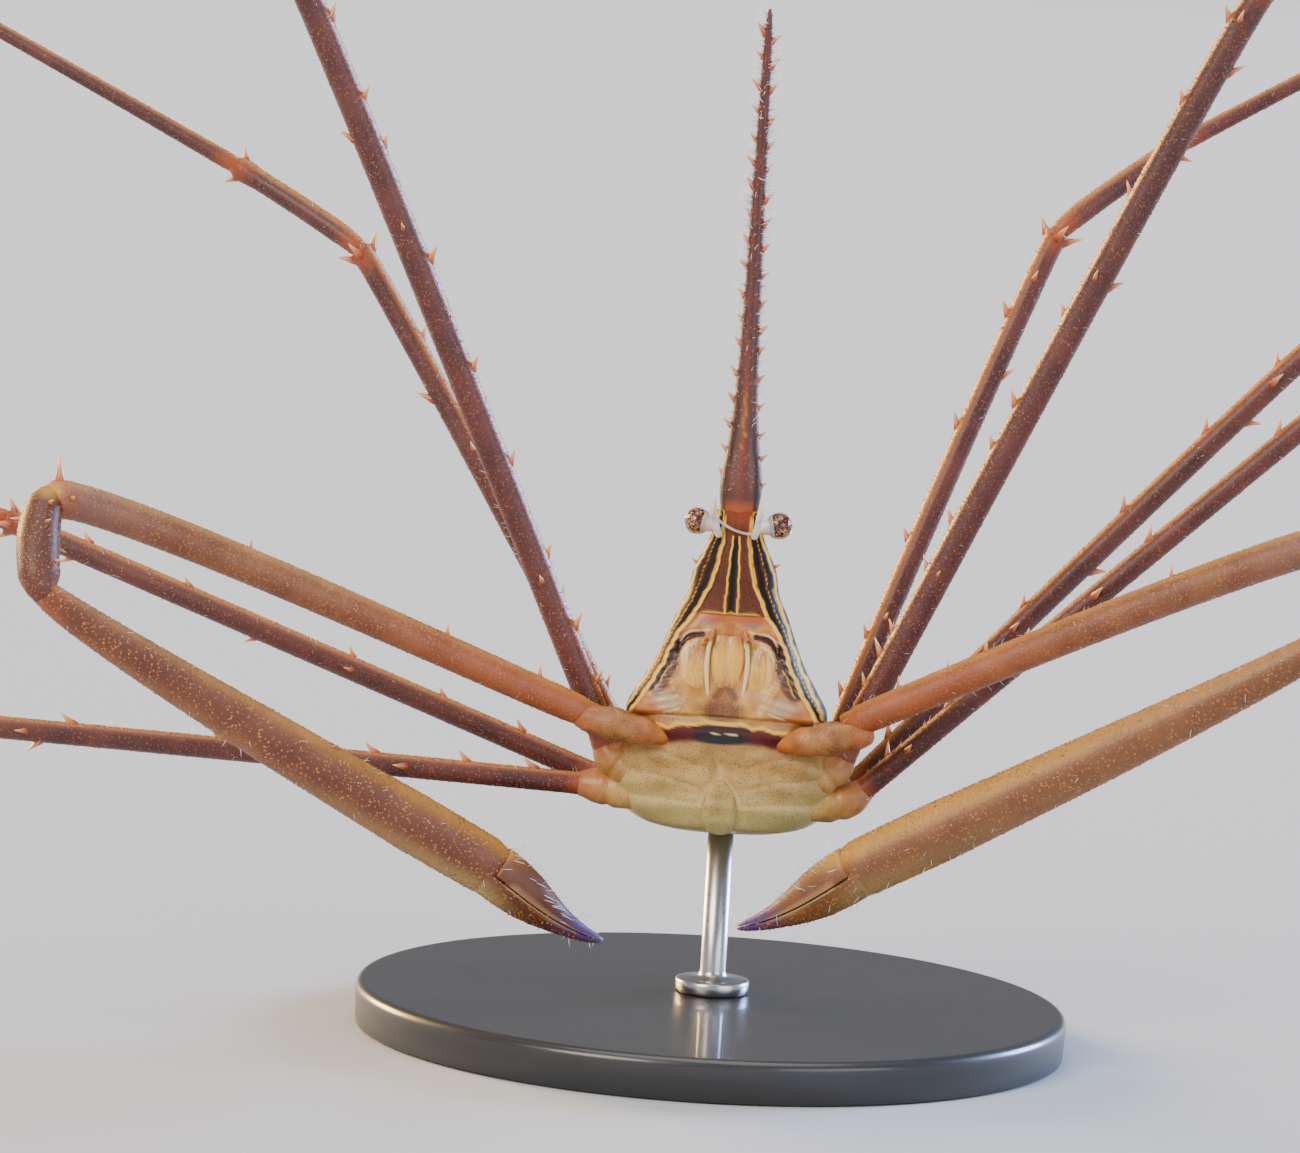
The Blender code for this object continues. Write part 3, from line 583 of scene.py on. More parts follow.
def plate_ring(height, rise, across=72, back_y=0.9):
    """A face from ridge to ridge, with rise(x, height) added in front, and a flat hidden back."""
    half, face = table(RIDGE, height, 1) + 0.05, table(UNDERSIDE, height, 2)
    points = []
    for i in range(across + 1):
        share = math.cos(math.pi * i / across)
        points.append((half * share, face + 0.32 * abs(share) ** 3 - rise(half * abs(share), height), height))
    return points + [(-half, face + back_y, height), (half, face + back_y, height)]


def front_relief(x, height):
    centre = np.interp(height, [p[1] for p in CENTRE_LINE[::-1]], [p[0] for p in CENTRE_LINE[::-1]])
    rise = hump(x - table(RIDGE, height, 1) + 0.08, 0.16, 0.16) + hump(x - centre, 0.05, 0.09)
    rise *= min(max((37.0 - height) / 0.8, 0), 1)
    return rise - hump(x, 0.07, 0.25) + hump(height - 30.3, 0.12, 0.22)


plate = rings_between(MOUTH_TOP - 0.1, FRONT_TOP, 0.1, lambda z: plate_ring(z, front_relief))
front_plate = piece("front_plate", skinned(plate), "striped_chitin", "shell", "epistome")
front_lines = strongest(
    stripe(CENTRE_LINE, 0.025, 0.06, wander=0.025),
    stripe(ridge_line(-0.04), 0.05, 0.08, wander=0.025),
    stripe(ARCH, 0.03, 0.1, 0.55, wander=0.025),
)
paint(
    front_plate,
    yellow=both(front_lines, ramp(37.0, 36.5)),
    black=both(stripe([(0, 35.6), (0, 30.3)], 0.15, 0.2), ramp(35.7, 35.2)),
    brown=ramp(30.0, 30.88, 0.55),
    orange=ramp(35.9, 36.7, 0.75),
    dotted=ramp(36.0, 35.0),
)

# %% [markdown]
# ## Mouth field
# A pale, waxy area that the mouthparts lie in. Dark red slits arch over the outer mouthparts and a
# speckled brown patch lies below them. Painted shade darkens a brown band inside each ridge, and a
# lilac painted shadow lies under the arch. The field is sunk between the ridges so that the mouthparts
# can stand in it.

# %% Mouth field
SLIT = [(3.45, 27.5), (3.3, 28.05), (2.85, 28.5), (2.3, 28.7), (1.9, 28.75)]
LIP_LOWER = [(3.3, 27.3), (3.15, 27.75), (2.75, 28.15), (2.2, 28.35)]
LIP_UPPER = [(3.35, 28.2), (3.1, 28.65), (2.7, 28.93), (2.0, 28.98), (1.2, 29.1)]
CREASES = ([(3.1, 23.66), (4.2, 23.3)], LIP_LOWER, LIP_UPPER)


def mouth_relief(x, height):
    sunk = hump(x, 0.34, 2.6) * math.exp(-(((height - 27.0) / 2.6) ** 4))
    rise = hump(x - table(RIDGE, height, 1) + 0.1, 0.18, 0.2) - 0.5 * max(23.35 - height, 0) / 0.35
    cheek = 0.35 * math.exp(-(((x - 4.2) / 1.3) ** 2 + ((height - 24.6) / 1.2) ** 2))
    fold = hump(x - 2.9 - 0.5 * (height - 24.0), 0.12, 0.22) if height < 26.5 else 0
    furrows = 0.05 * math.sin(height * 11 + x * 3) * hump(x - 3.9, 1.0, 1.0)
    return rise - sunk + cheek + fold + furrows - hump(line_distance(x, height, SLIT), 0.3, 0.2)


plate = rings_between(MOUTH_BOTTOM, MOUTH_TOP, 0.1, lambda z: plate_ring(z, mouth_relief, 128, 1.6))
mouth_field = piece("mouth_field", skinned(plate), "mouth_chitin", "belly", "mouth_frame")
paint(
    mouth_field,
    yellow=[
        stripe(ridge_line(-0.05), 0.05, 0.1, wander=0.05),
        stripe(ridge_line(-0.6, 23.4, 26.6), 0.01, 0.06, 0.7, wander=0.05),
        patch((0.9, 26.9), (1.5, 1.0), 0.3, 0.6),
    ],
    maroon=stripe(SLIT, 0.16, 0.12),
    black=[stripe(SLIT, 0.05, 0.06), stripe(ridge_line(-0.32, 23.4, 28.6), 0.12, 0.12, 0.85, wander=0.05)],
    cream=[stripe(line, 0.03, 0.07, 0.9) for line in CREASES] + [patch((4.0, 24.1), (0.9, 0.6), 0.35)],
    orange=[
        patch((1.0, 30.0), (2.3, 0.35), 0.8), patch((2.7, 28.7), (0.8, 0.45), 0.7),
        patch((5.2, 23.5), (1.3, 0.6), 0.5), patch((0, 29.4), (0.4, 0.6), 0.55),
        patch((0, 26.8), (1.2, 1.9), 0.45, 0.5),
    ],
    brown=[
        patch((-0.2, 23.7), (1.5, 0.7), 0.75, mirrored=False),
        stripe([(0.0, 25.5), (0.65, 24.6)], 0.15, 0.35, 0.8),
        patch((0, 24.9), (1.0, 0.6), 0.3),
        patch((0, 28.7), (0.5, 0.22), 0.5),
        # Painted shade: a brown band along the inside of each ridge.
        stripe(ridge_line(-0.75, 24.0, 28.6), 0.3, 0.3, 0.9, wander=0.05),
    ],
    lilac=[
        # The lilac patch at 1.45 mm across and 29.7 mm up is a painted shadow under the arch.
        patch((3.9, 27.4), (0.6, 1.3), 0.6), patch((1.45, 29.7), (0.8, 0.35), 0.7),
        patch((4.1, 24.2), (1.1, 0.75), 0.5),
    ],
    dotted=[patch((-0.2, 23.6), (1.5, 0.8), mirrored=False), patch((3.9, 24.2), (1.6, 1.0), 0.5)],
)

# %% [markdown]
# ## Mouthparts
# The third maxillipeds are flat limbs that close over the mouth like a pair of doors. Each has a
# slim inner lobe, a pale rib, a broad outer plate, a thin rod beside it, and a little jointed palp
# that folds down from the top. All of these are tubes with their own widths and depths, pressed
# flat.

# %% Maxillipeds
MAXILLIPED_PARTS = (
    # path in mm for the left side, half widths, half depths
    (
        (
            (0.3, -4.4, 24.8), (0.4, -4.27, 25.5), (0.48, -4.14, 26.3), (0.52, -3.98, 27.3),
            (0.42, -3.72, 28.7),
        ),
        (0.2, 0.46, 0.62, 0.68, 0.46), (0.05, 0.1, 0.17, 0.22, 0.1),
    ),
    (
        (
            (1.1, -4.5, 24.1), (1.28, -4.52, 25.2), (1.42, -4.36, 26.6), (1.34, -4.1, 28.0),
            (1.08, -3.85, 29.2),
        ),
        (0.07, 0.14, 0.18, 0.16, 0.14), (0.08, 0.13, 0.17, 0.16, 0.12),
    ),
    (
        ((2.1, -4.45, 24.2), (2.3, -4.42, 25.0), (2.42, -4.26, 26.2), (2.42, -4.05, 27.2), (2.3, -3.8, 28.1)),
        (0.7, 0.86, 0.94, 0.92, 0.66), (0.06, 0.14, 0.21, 0.23, 0.16),
    ),
    (((3.2, -4.2, 24.2), (3.42, -4.25, 25.8), (3.38, -4.0, 27.1)), (0.1, 0.13, 0.08), (0.1, 0.13, 0.08)),
    (((1.8, -4.1, 28.2), (1.62, -4.3, 28.4), (1.42, -4.4, 28.65)), (0.14, 0.18, 0.17), (0.14, 0.18, 0.17)),
    (
        ((1.42, -4.4, 28.65), (1.26, -4.6, 28.6), (1.2, -4.72, 28.3), (1.22, -4.74, 28.05)),
        (0.16, 0.15, 0.12, 0.06), (0.16, 0.15, 0.12, 0.06),
    ),
)
STATIONS = 22


def where_x(low, high):
    """A rule: 1 where the distance from the middle lies between these."""
    return lambda x, y, z: (low < np.abs(x)) & (np.abs(x) < high)


def mirrored(side, points):
    return [(side * x, y, z) for x, y, z in points]


for side, name in BOTH_SIDES:
    tubes = [
        tube(mirrored(side, finer(path, STATIONS)), finer(widths, STATIONS), finer(depths, STATIONS), 36)
        for path, widths, depths in MAXILLIPED_PARTS
    ]
    mouthpart = piece(
        f"mouthpart_{name}", skinned(*tubes), "mouth_chitin", "mouthpart", f"maxilliped_{name}"
    )
    paint(
        mouthpart,
        cream=[
            stripe([(1.1, 24.2), (1.42, 26.6), (1.28, 28.2)], 0.12, 0.15, 0.9),
            stripe([(2.75, 24.4), (2.95, 26.4), (2.8, 27.7)], 0.05, 0.12, 0.6),
            stripe([(3.25, 27.2), (2.95, 27.85), (2.4, 28.15)], 0.03, 0.08, 0.9),
            both(ribs(23, 0, 0.6, 0.45), where_x(1.55, 3.15)),
            both(ribs(17, 1, 1, 0.3), where_x(-1, 1.0)),
        ],
        orange=[
            ramp(28.25, 28.75, 0.7), patch((2.4, 27.4), (0.8, 0.6), 0.5), patch((0.3, 26.8), (0.8, 1.6), 0.6),
            stripe([(0.0, 28.2), (0.0, 25.6)], 0.05, 0.2, 0.8),
        ],
        yellow=[patch((0.5, 26.9), (0.6, 1.3), 0.65), patch((2.3, 25.8), (0.9, 1.2), 0.4)],
        maroon=stripe([(1.6, 28.4), (1.3, 28.6), (1.2, 28.2)], 0.04, 0.1, 0.6),
        brown=[
            both(ramp(25.9, 25.1, 0.5), lambda x, y, z: np.clip((1.2 - np.abs(x)) / 0.2, 0, 1)),
            both(ribs(19, 0, 1.1, 0.3), where_x(1.6, 9)),
        ],
        lilac=stripe([(0.0, 26.9), (0.0, 26.3)], 0.04, 0.22, 0.7),
        dotted=ramp(26.0, 24.8, 0.5),
    )

# %% [markdown]
# ## Sternum
# The broad plate that all the limbs spring from. It is pale, with fine dark dots and shallow grooves
# between the segments. Along its top runs a maroon band, nearly black in the middle, under a wavy
# yellow line.

# %% Sternum
GROOVES = (
    [(1.6, 19.6), (3.6, 20.3), (6.4, 21.0)],
    [(1.7, 18.1), (4.0, 18.7), (7.6, 19.0)],
    [(1.6, 16.9), (3.8, 17.1), (7.0, 17.0)],
    [(0.0, 20.9), (0.0, 19.0)],
    [(0.0, 18.9), (0.9, 18.2), (1.6, 17.0), (1.5, 15.6)],
)
BAND_DOTS = (-1.0, -0.6, -0.25, 0.15, 0.55, 0.95)  # white, on the band's middle
BAND_TOP = [(0, 22.75), (1.4, 22.8), (2.2, 22.55), (2.9, 22.65), (3.7, 22.3), (4.6, 22.4)]
BAND_MIDDLE = [(0, 22.0), (1.6, 22.05), (3.0, 21.9), (3.6, 21.75)]


def sternum_ring(height, count=150):
    half, face = table(UNDERSIDE, height, 1), table(UNDERSIDE, height, 2)
    edge = max(table(CARAPACE, height, 3) + 0.4, 0.6)
    power = 0.77 - 0.25 * min(max((height - 21.0) / 2.0, 0), 1)
    points = []
    for i in range(count + 1):
        angle = math.pi * i / count
        x = half * math.copysign(abs(math.cos(angle)) ** power, math.cos(angle))
        grooves = sum(hump(line_distance(abs(x), height, line), 0.08, 0.15) for line in GROOVES)
        grooves += 0.3 * max(height - 22.95, 0) ** 2 / 0.16
        lobes = 0.16 * math.sin(height * 3.4 + abs(x) * 0.5) * min(abs(x) / 7, 1)
        points.append((x, edge + (face - edge + grooves - lobes) * math.sin(angle) ** power, height))
    return points


plate = rings_between(14.5, 23.35, 0.13, sternum_ring)
sternum = piece("sternum_plate", skinned(plate), "pale_chitin", "belly", "sternum")
paint(
    sternum,
    yellow=lambda x, y, z: stripe(BAND_TOP, 0.06, 0.1)(x, y, wavy(z, x * 1.3, 0.04)),
    maroon=[stripe(BAND_MIDDLE, 0.45, 0.3), patch((4.2, 21.6), (0.8, 0.5), 0.4)],
    black=[
        patch((-0.1, 21.75), (2.1, 0.46), soft=0.16, mirrored=False),
        stripe([(0, 22.5), (1.9, 22.4)], 0.1, 0.12, 0.9),
    ],
    orange=[
        patch((5.0, 23.2), (2.6, 0.4), 0.5), patch((4.6, 21.7), (1.3, 0.9), 0.75),
        patch((8.0, 19.4), (0.9, 1.4), 0.4), patch((1.25, 17.3), (0.2, 0.5), 0.4),
    ],
    olive=ramp(19.6, 16.1, 0.7),
    brown=[ramp(19.6, 21.6, 0.25), patch((0, 23.25), (1.5, 0.4), 0.75, 0.3)],
    cream=[
        stripe([(0, 18.9), (0.5, 18.4), (1.2, 17.6), (1.4, 16.8)], 0.06, 0.2, 0.55),
        patch((0, 19.0), (0.35, 0.7), 0.5),
        *(patch((x, 22.05), (0.07, 0.045), 0.9, mirrored=False) for x in BAND_DOTS),
    ],
    dotted=lambda x, y, z: np.clip(1.2 - np.abs(z - 19.6) / 6, 0.75, 1),
)

# %% [markdown]
# ## Abdomen
# In crabs the tail is a short flap folded up under the body. Here it is a low oval bump with faint
# cross grooves, pale like the plate that it lies on.

# %% Abdomen
ABDOMEN = ((14.9, 0.8), (15.4, 1.02), (16.4, 1.16), (17.3, 1.1), (18.0, 0.8), (18.5, 0.4))
heights = [14.9 + 3.6 * i / 60 for i in range(61)]
flap = tube(
    [(0, table(UNDERSIDE, z, 2) - 0.12, z) for z in heights],
    [table(ABDOMEN, z, 1) for z in heights],
    [0.26 + 0.025 * math.cos(2 * math.pi * (z - 14.8) / 1.05) for z in heights],
    sides=40,
)
paint(
    piece("abdomen_flap", skinned(flap), "pale_chitin", "belly", "abdomen"),
    olive=ramp(19.2, 15.7, 0.7),
    orange=patch((1.1, 17.4), (0.15, 0.5), 0.6),
    brown=patch((0, 16.9), (0.5, 1.2), 0.2, 0.8),
    dotted=0.8,
)

# %% [markdown]
# ## Eyes
# Each eye is a clear ball on a pale stalk that stands out sideways. Inside lies the red-brown and
# gold pattern of the compound eye. Two nested balls show this best: the outer one is clear, with the
# refraction of a water-filled cornea, and the inner one carries the pattern, as cells 0.16 mm apart.

# %% Eyes
EYE = Vector((2.85, -0.5, 36.3))
EYE_RADIUS = 0.96
new_finish("clear_cornea", Base_Color=linear("#f4f4f0"), Transmission_Weight=1.0, Roughness=0.03, IOR=1.2)
tree, shader = new_finish("facetted_eye", Roughness=0.25, Coat_Weight=0.8)
place = add(tree, "ShaderNodeTexCoord").outputs["Object"]
cells = add(tree, "ShaderNodeTexVoronoi", {"Vector": place, "Scale": 1 / (0.16 * MM)})
clouds = add(tree, "ShaderNodeTexNoise", {"Vector": place, "Scale": 1 / (0.9 * MM), "Detail": 3.0})
gold = add(tree, "ShaderNodeMapRange", {"Value": clouds, "From Min": 0.44, "From Max": 0.6})
lines = add(tree, "ShaderNodeMapRange", {"Value": cells, "From Min": 0.35, "From Max": 0.6})
ground = {0: gold, 6: linear("#8a2c1a"), 7: linear("#e8b878")}
lined = {0: lines, 6: add(tree, "ShaderNodeMix", ground, data_type="RGBA"), 7: linear("#4a140e")}
fill(shader, {"Base Color": add(tree, "ShaderNodeMix", lined, data_type="RGBA")})


def face_order(face):
    """A number that tells faces apart by their three lowest points, of under 1000."""
    low, middle, high = sorted(vert.index for vert in face.verts)[:3]
    return (low * 1000 + middle) * 1000 + high


def ball(centre, radius, sides=32):
    """A ball whose faces are sorted, as their order would change from run to run."""
    bm = bmesh.new()
    made = bmesh.ops.create_uvsphere(bm, u_segments=sides, v_segments=sides // 2, radius=radius * MM)
    bmesh.ops.translate(bm, verts=made["verts"], vec=centre * MM)
    bm.verts.index_update()
    bm.faces.sort(key=face_order)
    return bm


for side, name in BOTH_SIDES:
    centre = Vector((side * EYE.x, EYE.y, EYE.z))
    inner = Vector((side * 0.9, EYE.y - 0.3, EYE.z - 0.35))
    stalk = [inner.lerp(centre, share) for share in (0, 0.3, 0.6, 0.78)]
    stalk = tube(stalk, (0.36, 0.42, 0.56, 0.84), sides=28, rounded=(True, False))
    piece(f"eye_{name}_cornea", ball(centre, EYE_RADIUS), "clear_cornea", "eye", f"eye_{name}")
    piece(f"eye_{name}_core", ball(centre, EYE_RADIUS * 0.8), "facetted_eye", "eye")
    piece(f"eye_{name}_stalk", skinned(stalk), "clear_chitin", "eye")

# %% [markdown]
# ## Feelers and the bar between the eyes
# Two short pale antennules stand beside the root of the beak, and a thin raised bar runs between the
# eye stalks. They are nearly clear in life, so their shell is the waxiest.

# %% Antennae and eye bar
FEELER = ((1.25, -2.0, 35.6), (1.4, -2.35, 36.1), (1.5, -2.5, 36.7), (1.55, -2.5, 37.3), (1.65, -2.45, 38.6))
BRANCH = ((1.5, -2.5, 36.6), (1.75, -2.8, 37.1), (1.85, -2.9, 37.8))
EYE_BAR = [(1.7, -1.5, 36.1), (1.0, -2.0, 35.75), (0.0, -2.1, 35.9), (-0.9, -2.0, 36.3), (-1.7, -1.5, 36.8)]
for side, name in BOTH_SIDES:
    feeler = tube(mirrored(side, finer(FEELER, 24)), finer((0.26, 0.25, 0.22, 0.15, 0.06), 24), sides=16)
    branch = tube(mirrored(side, finer(BRANCH, 10)), finer((0.15, 0.1, 0.04), 10))
    piece(f"feeler_{name}", skinned(feeler, branch), "clear_chitin", "mouthpart", f"antenna_{name}")
eye_bar = piece("eye_bar", skinned(tube(finer(EYE_BAR, 24), [0.1] * 24)), "clear_chitin", "shell")
paint(eye_bar, orange=lambda x, y, z: 0.45 * np.clip(1.2 - np.abs(x) / 1.2, 0, 1))

# %% [markdown]
# ## The beak
# The rostrum is a spike longer than the rest of the body. Its root is flat and broad, and it thins
# to a needle. A yellow line and two dark ones run up from the root and fade out.

# %% Rostrum
ROSTRUM = (
    # height, half width, half depth
    (35.5, 0.9, 0.5), (36.3, 1.15, 0.85), (37.3, 1.36, 1.05), (38.7, 1.47, 1.08), (40.0, 1.38, 1.0),
    (41.6, 1.16, 0.88), (44.8, 0.85, 0.7), (49.0, 0.68, 0.6), (55.0, 0.55, 0.5), (65.0, 0.4, 0.38),
    (69.5, 0.32, 0.32), (71.3, 0.24, 0.24), (72.0, 0.12, 0.12),
)
ROSTRUM_SIDES = 32


def rostrum_centre(height):
    """The beak leans back by 1 mm over its length."""
    return Vector((0, (height - 37.3) / 34.8, height))


heights = [35.5 + 36.4 * i / 130 for i in range(131)]
spike = tube(
    [rostrum_centre(z) for z in heights],
    [table(ROSTRUM, z, 1) for z in heights],
    [table(ROSTRUM, z, 2) for z in heights],
    sides=ROSTRUM_SIDES,
    rounded=(False, True),
)
rostrum = piece("rostrum_spike", skinned(spike), "red_brown_chitin", "rostrum", "rostrum")
paint(
    rostrum,
    yellow=[
        both(stripe([(0, 38.0), (0, 45.5)], 0.03, 0.07, 0.9, wander=0.02), ramp(46.5, 42)),
        stripe([(0.6, 36.4), (0.5, 37.2)], 0.03, 0.07, 0.9),
    ],
    orange=[both(stripe([(0, 37), (0, 49)], 0.06, 0.12, 0.5), ramp(50, 44)), ramp(38.1, 37.4, 0.75)],
    black=[
        both(stripe([(1.22, 38.4), (1.1, 39.8), (0.62, 42.2), (0.4, 44.5)], 0.05, 0.1, 0.9), ramp(46, 43)),
        stripe([(1.0, 36.2), (1.15, 37.2), (1.24, 38.4)], 0.1, 0.1, 0.9),
    ],
    maroon=ramp(48, 68, 0.4),
)

# %% [markdown]
# ## Limbs: where the joints are
# A limb is a chain of stiff lengths. Each is given by its length, its lift above level and its lean
# towards the front, from the body outwards, as in the solids. From these come the joints' places.
# Each length leaves its joint along the way that halves the bend there, so its axis is a short curve
# at each end and straight between.

# %% Tables of the limbs
ARTICLES = ("merus", "carpus", "propodus", "dactyl")
LIMBS = {
    # limb: where its base ends, then length, lift and lean of each article, in mm and degrees
    "leg_2_left": ((8.0, -1.1, 20.2), ((61.7, 64.9, 3.6), (13, 10, 5), (40, -35, 8), (15, -55, 0))),
    "leg_2_right": ((-8.1, -1.1, 20.0), ((61.8, 65.1, 3.6), (13, 10, 5), (40, -35, 8), (15, -55, 0))),
    "leg_3_left": ((9.3, -0.4, 17.7), ((51.9, 43.8, 6.2), (11, 15, 8), (34, -50, 15), (13, -65, 5))),
    "leg_3_right": ((-9.3, -0.4, 17.3), ((52.1, 2.5, 6.2), (11, -5, 12), (34, -14, 60), (13, -40, 50))),
    "leg_4_left": ((8.9, 2.2, 18.0), ((45.2, 47.1, -4.9), (10, 20, -10), (32, -40, -25), (12, -60, -15))),
    "leg_4_right": ((-8.9, 2.2, 17.5), ((46.4, 19.0, -4.8), (10, 5, -10), (32, -30, -30), (12, -55, -20))),
    "leg_5_left": ((6.4, 3.6, 17.3), ((43.0, 70.2, -7.6), (11, 39, -16), (33, 30, -10), (11, -5, -5))),
    "leg_5_right": ((-6.4, 3.6, 17.3), ((42.6, 58.2, -7.6), (11.5, 29, -15), (33, 25, -6), (11, -10, -5))),
}
HIND_START = (100.0, -34.0)  # lift and lean with which the last legs leave the body
LEG_RADIUS = {2: 1.0, 3: 0.8, 4: 0.85, 5: 0.82}
COXA_INNER = {2: (5.2, -1.3, 18.2), 3: (5.2, -0.8, 16.8), 4: (4.8, 0.9, 16.4), 5: (5.2, 1.2, 15.9)}
COXA_RADIUS = {2: 1.3, 3: 1.2, 4: 1.05, 5: 0.9}
CLAW_ROOT = (5.9, -4.4, 22.0)
CLAWS = {
    "left": ((3.5, 24.5, 3), (38.0, 25.4, 15.2), (7.2, -100, 35), (36.8, -148.7, -8.6), (9.9, -148.3, -17.6)),
    "right": ((3.8, 13.5, 3), (40.0, 20.3, 15.2), (7.0, -95, 35), (35.8, -149.9, -9.7), (9.6, -147.1, -18.3)),
}
SHAPES = {
    # part: share of its length, half width as a share of the leg's radius, or in mm for the claws
    "merus": (
        (0, 0.8), (0.012, 1.0), (0.04, 1.08), (0.08, 0.97), (0.5, 1.0), (0.92, 0.97), (0.955, 1.05),
        (0.98, 1.24), (0.995, 1.12), (1, 0.8),
    ),
    "carpus": ((0, 0.6), (0.05, 0.82), (0.25, 0.95), (0.75, 0.9), (0.9, 1.08), (0.97, 1.05), (1, 0.75)),
    "propodus": ((0, 0.5), (0.02, 0.7), (0.08, 0.76), (0.5, 0.64), (0.93, 0.58), (0.98, 0.68), (1, 0.5)),
    "dactyl": ((0, 0.4), (0.05, 0.52), (0.3, 0.45), (0.7, 0.34), (0.92, 0.17), (1, 0.03)),
    "coxa": ((0, 0.8), (0.3, 1.02), (0.5, 1.12), (0.62, 1.0), (0.7, 1.1), (0.9, 1.0), (1, 0.85)),
    "arm": ((0, 0.8), (0.03, 1.0), (0.08, 1.08), (0.5, 1.2), (0.9, 1.28), (0.96, 1.38), (1, 1.0)),
    "wrist": ((0, 1.0), (0.15, 1.3), (0.5, 1.48), (0.8, 1.42), (1, 1.0)),
    "palm": ((0, 0.75), (0.04, 0.95), (0.25, 1.3), (0.5, 1.75), (0.75, 2.05), (0.95, 1.98), (1, 1.85)),
    "finger": (
        (0, 1.93), (0.2, 1.88), (0.35, 1.72), (0.5, 1.35), (0.65, 0.92), (0.8, 0.6), (0.92, 0.38), (1, 0.16),
    ),
}


def way_of(side, lift, lean):
    lift, lean = math.radians(lift), math.radians(lean)
    level = math.cos(lean)
    return Vector((side * level * math.cos(lift), -math.sin(lean), level * math.sin(lift)))


def chain(root, articles, side):
    """The joints' places and each article's way."""
    places, ways = [Vector(root)], []
    for length, lift, lean in articles:
        ways.append(way_of(side, lift, lean))
        places.append(places[-1] + ways[-1] * length)
    return places, ways


def between(first, second):
    return (first + second).normalized()


def curve(start, end, start_way, end_way, handle, count, reach_in=0.0):
    """Points of a curve that leaves and arrives along the given ways, its root moved back by reach_in."""
    b, c = start + start_way * handle, end - end_way * handle
    out = [start - start_way * reach_in]
    for i in range(1, count + 1):
        t = i / count
        out.append(start * (1 - t) ** 3 + b * 3 * t * (1 - t) ** 2 + c * 3 * t * t * (1 - t) + end * t**3)
    return out


def radii_along(part, radius, count):
    shares, values = zip(*SHAPES[part])
    return [radius * float(np.interp(i / count, shares, values)) for i in range(count + 1)]


# %% [markdown]
# ## Thorns, grains and bristles
# Three things repeat over every limb: thorns that lean towards its far end, rounded grains that make
# the shell rough, and bristles. Geometry Nodes set each out, since nobody would place thousands by
# hand. Thorns go on chosen points; grains and bristles are scattered over the skin by density. A
# tree's inputs are its sizes, and its instances are realised at the end, as an export needs.


# %% Small shapes to repeat
def small_shape(name, sides, rings):
    """A spike along +Z through (height, sideways, radius) in mm, which keeps how far up a point is."""
    bm = bmesh.new()
    turns = [2 * math.pi * i / sides for i in range(sides)]
    rows = []
    for height, bend, radius in rings[:-1]:
        ring = [Vector((bend + radius * math.cos(a), radius * math.sin(a), height)) * MM for a in turns]
        rows.append([bm.verts.new(point) for point in ring])
    top = bm.verts.new(Vector((rings[-1][1], 0, rings[-1][0])) * MM)
    for lower, upper in zip(rows, rows[1:] + [[top] * sides]):
        for i in range(sides):
            corners = (lower[i], lower[(i + 1) % sides], upper[(i + 1) % sides], upper[i])
            bm.faces.new(corners[:3] if upper[i] is top else corners)
    bm.faces.new(rows[0][::-1])
    mesh = bpy.data.meshes.new(name)
    bm.to_mesh(mesh)
    bm.free()
    mesh.shade_smooth()
    keep_values(mesh, "up", [max(vert.co.z / MM, 0) / rings[-1][0] for vert in mesh.vertices])
    return show(name, mesh)


thorn_rings = ((-0.5, 0, 0.3), (0, 0, 0.25), (0.3, 0, 0.15), (0.7, 0.02, 0.075), (1.0, 0.05, 0))
bristle_rings = ((-0.1, 0, 0.03), (0.35, 0.02, 0.026), (0.7, 0.08, 0.018), (1.0, 0.17, 0))
thorn_shape = small_shape("thorn_shape", 7, thorn_rings)
bristle_shape = small_shape("bristle_shape", 4, bristle_rings)

# %% [markdown]
# ## What the three trees share
# A tree for Geometry Nodes has its inputs first. Two of the trees scatter points over a skin, all
# three stand a shape on each point, and all end by giving it its material. The points' values, such
# as how hairy the skin is there, are painted on the mesh, and a node reads them by name.


# %% Tree helpers
KEPT = "GeometryNodeInputNamedAttribute"  # the node that reads what a mesh keeps under a name


def new_tree(name, **sockets):
    """A geometry tree with these inputs beside the mesh and the material, and what it is given."""
    tree = bpy.data.node_groups.new(name, "GeometryNodeTree")
    tree.is_modifier = True
    for title, kind in {"Geometry": "Geometry", **sockets, "Material": "Material"}.items():
        title = title.replace("_", " ")
        tree.interface.new_socket(title, in_out="INPUT", socket_type="NodeSocket" + kind)
    tree.interface.new_socket("Geometry", in_out="OUTPUT", socket_type="NodeSocketGeometry")
    return tree, add(tree, "NodeGroupInput").outputs


def scatter_on_skin(tree, given, painted):
    """Points spread over the skin, as many to a square mm as the input and the painted value say."""
    per_area = add(tree, "ShaderNodeMath", {0: given["Per square mm"], 1: 1e6}, operation="MULTIPLY")
    masked = {0: per_area, 1: add(tree, KEPT, {"Name": painted})}
    density = add(tree, "ShaderNodeMath", masked, operation="MULTIPLY")
    skin = {"Mesh": given["Geometry"], "Density": density, "Seed": given["Seed"]}
    return add(tree, "GeometryNodeDistributePointsOnFaces", skin).outputs


def stand_on(tree, points, shape, rotation, scale):
    """The shape on each point, made real."""
    inputs = {"Points": points, "Instance": shape, "Rotation": rotation, "Scale": scale}
    stand = add(tree, "GeometryNodeInstanceOnPoints", inputs)
    return add(tree, "GeometryNodeRealizeInstances", {"Geometry": stand})


def end_tree(tree, given, geometry):
    dressed = add(tree, "GeometryNodeSetMaterial", {"Geometry": geometry, "Material": given["Material"]})
    add(tree, "NodeGroupOutput", {"Geometry": dressed})


# %% [markdown]
# ## The tree for thorns
# A thorn is a stout spike of the shell itself. Its tree is the shortest: every point keeps the way
# its thorn points and how long it is.

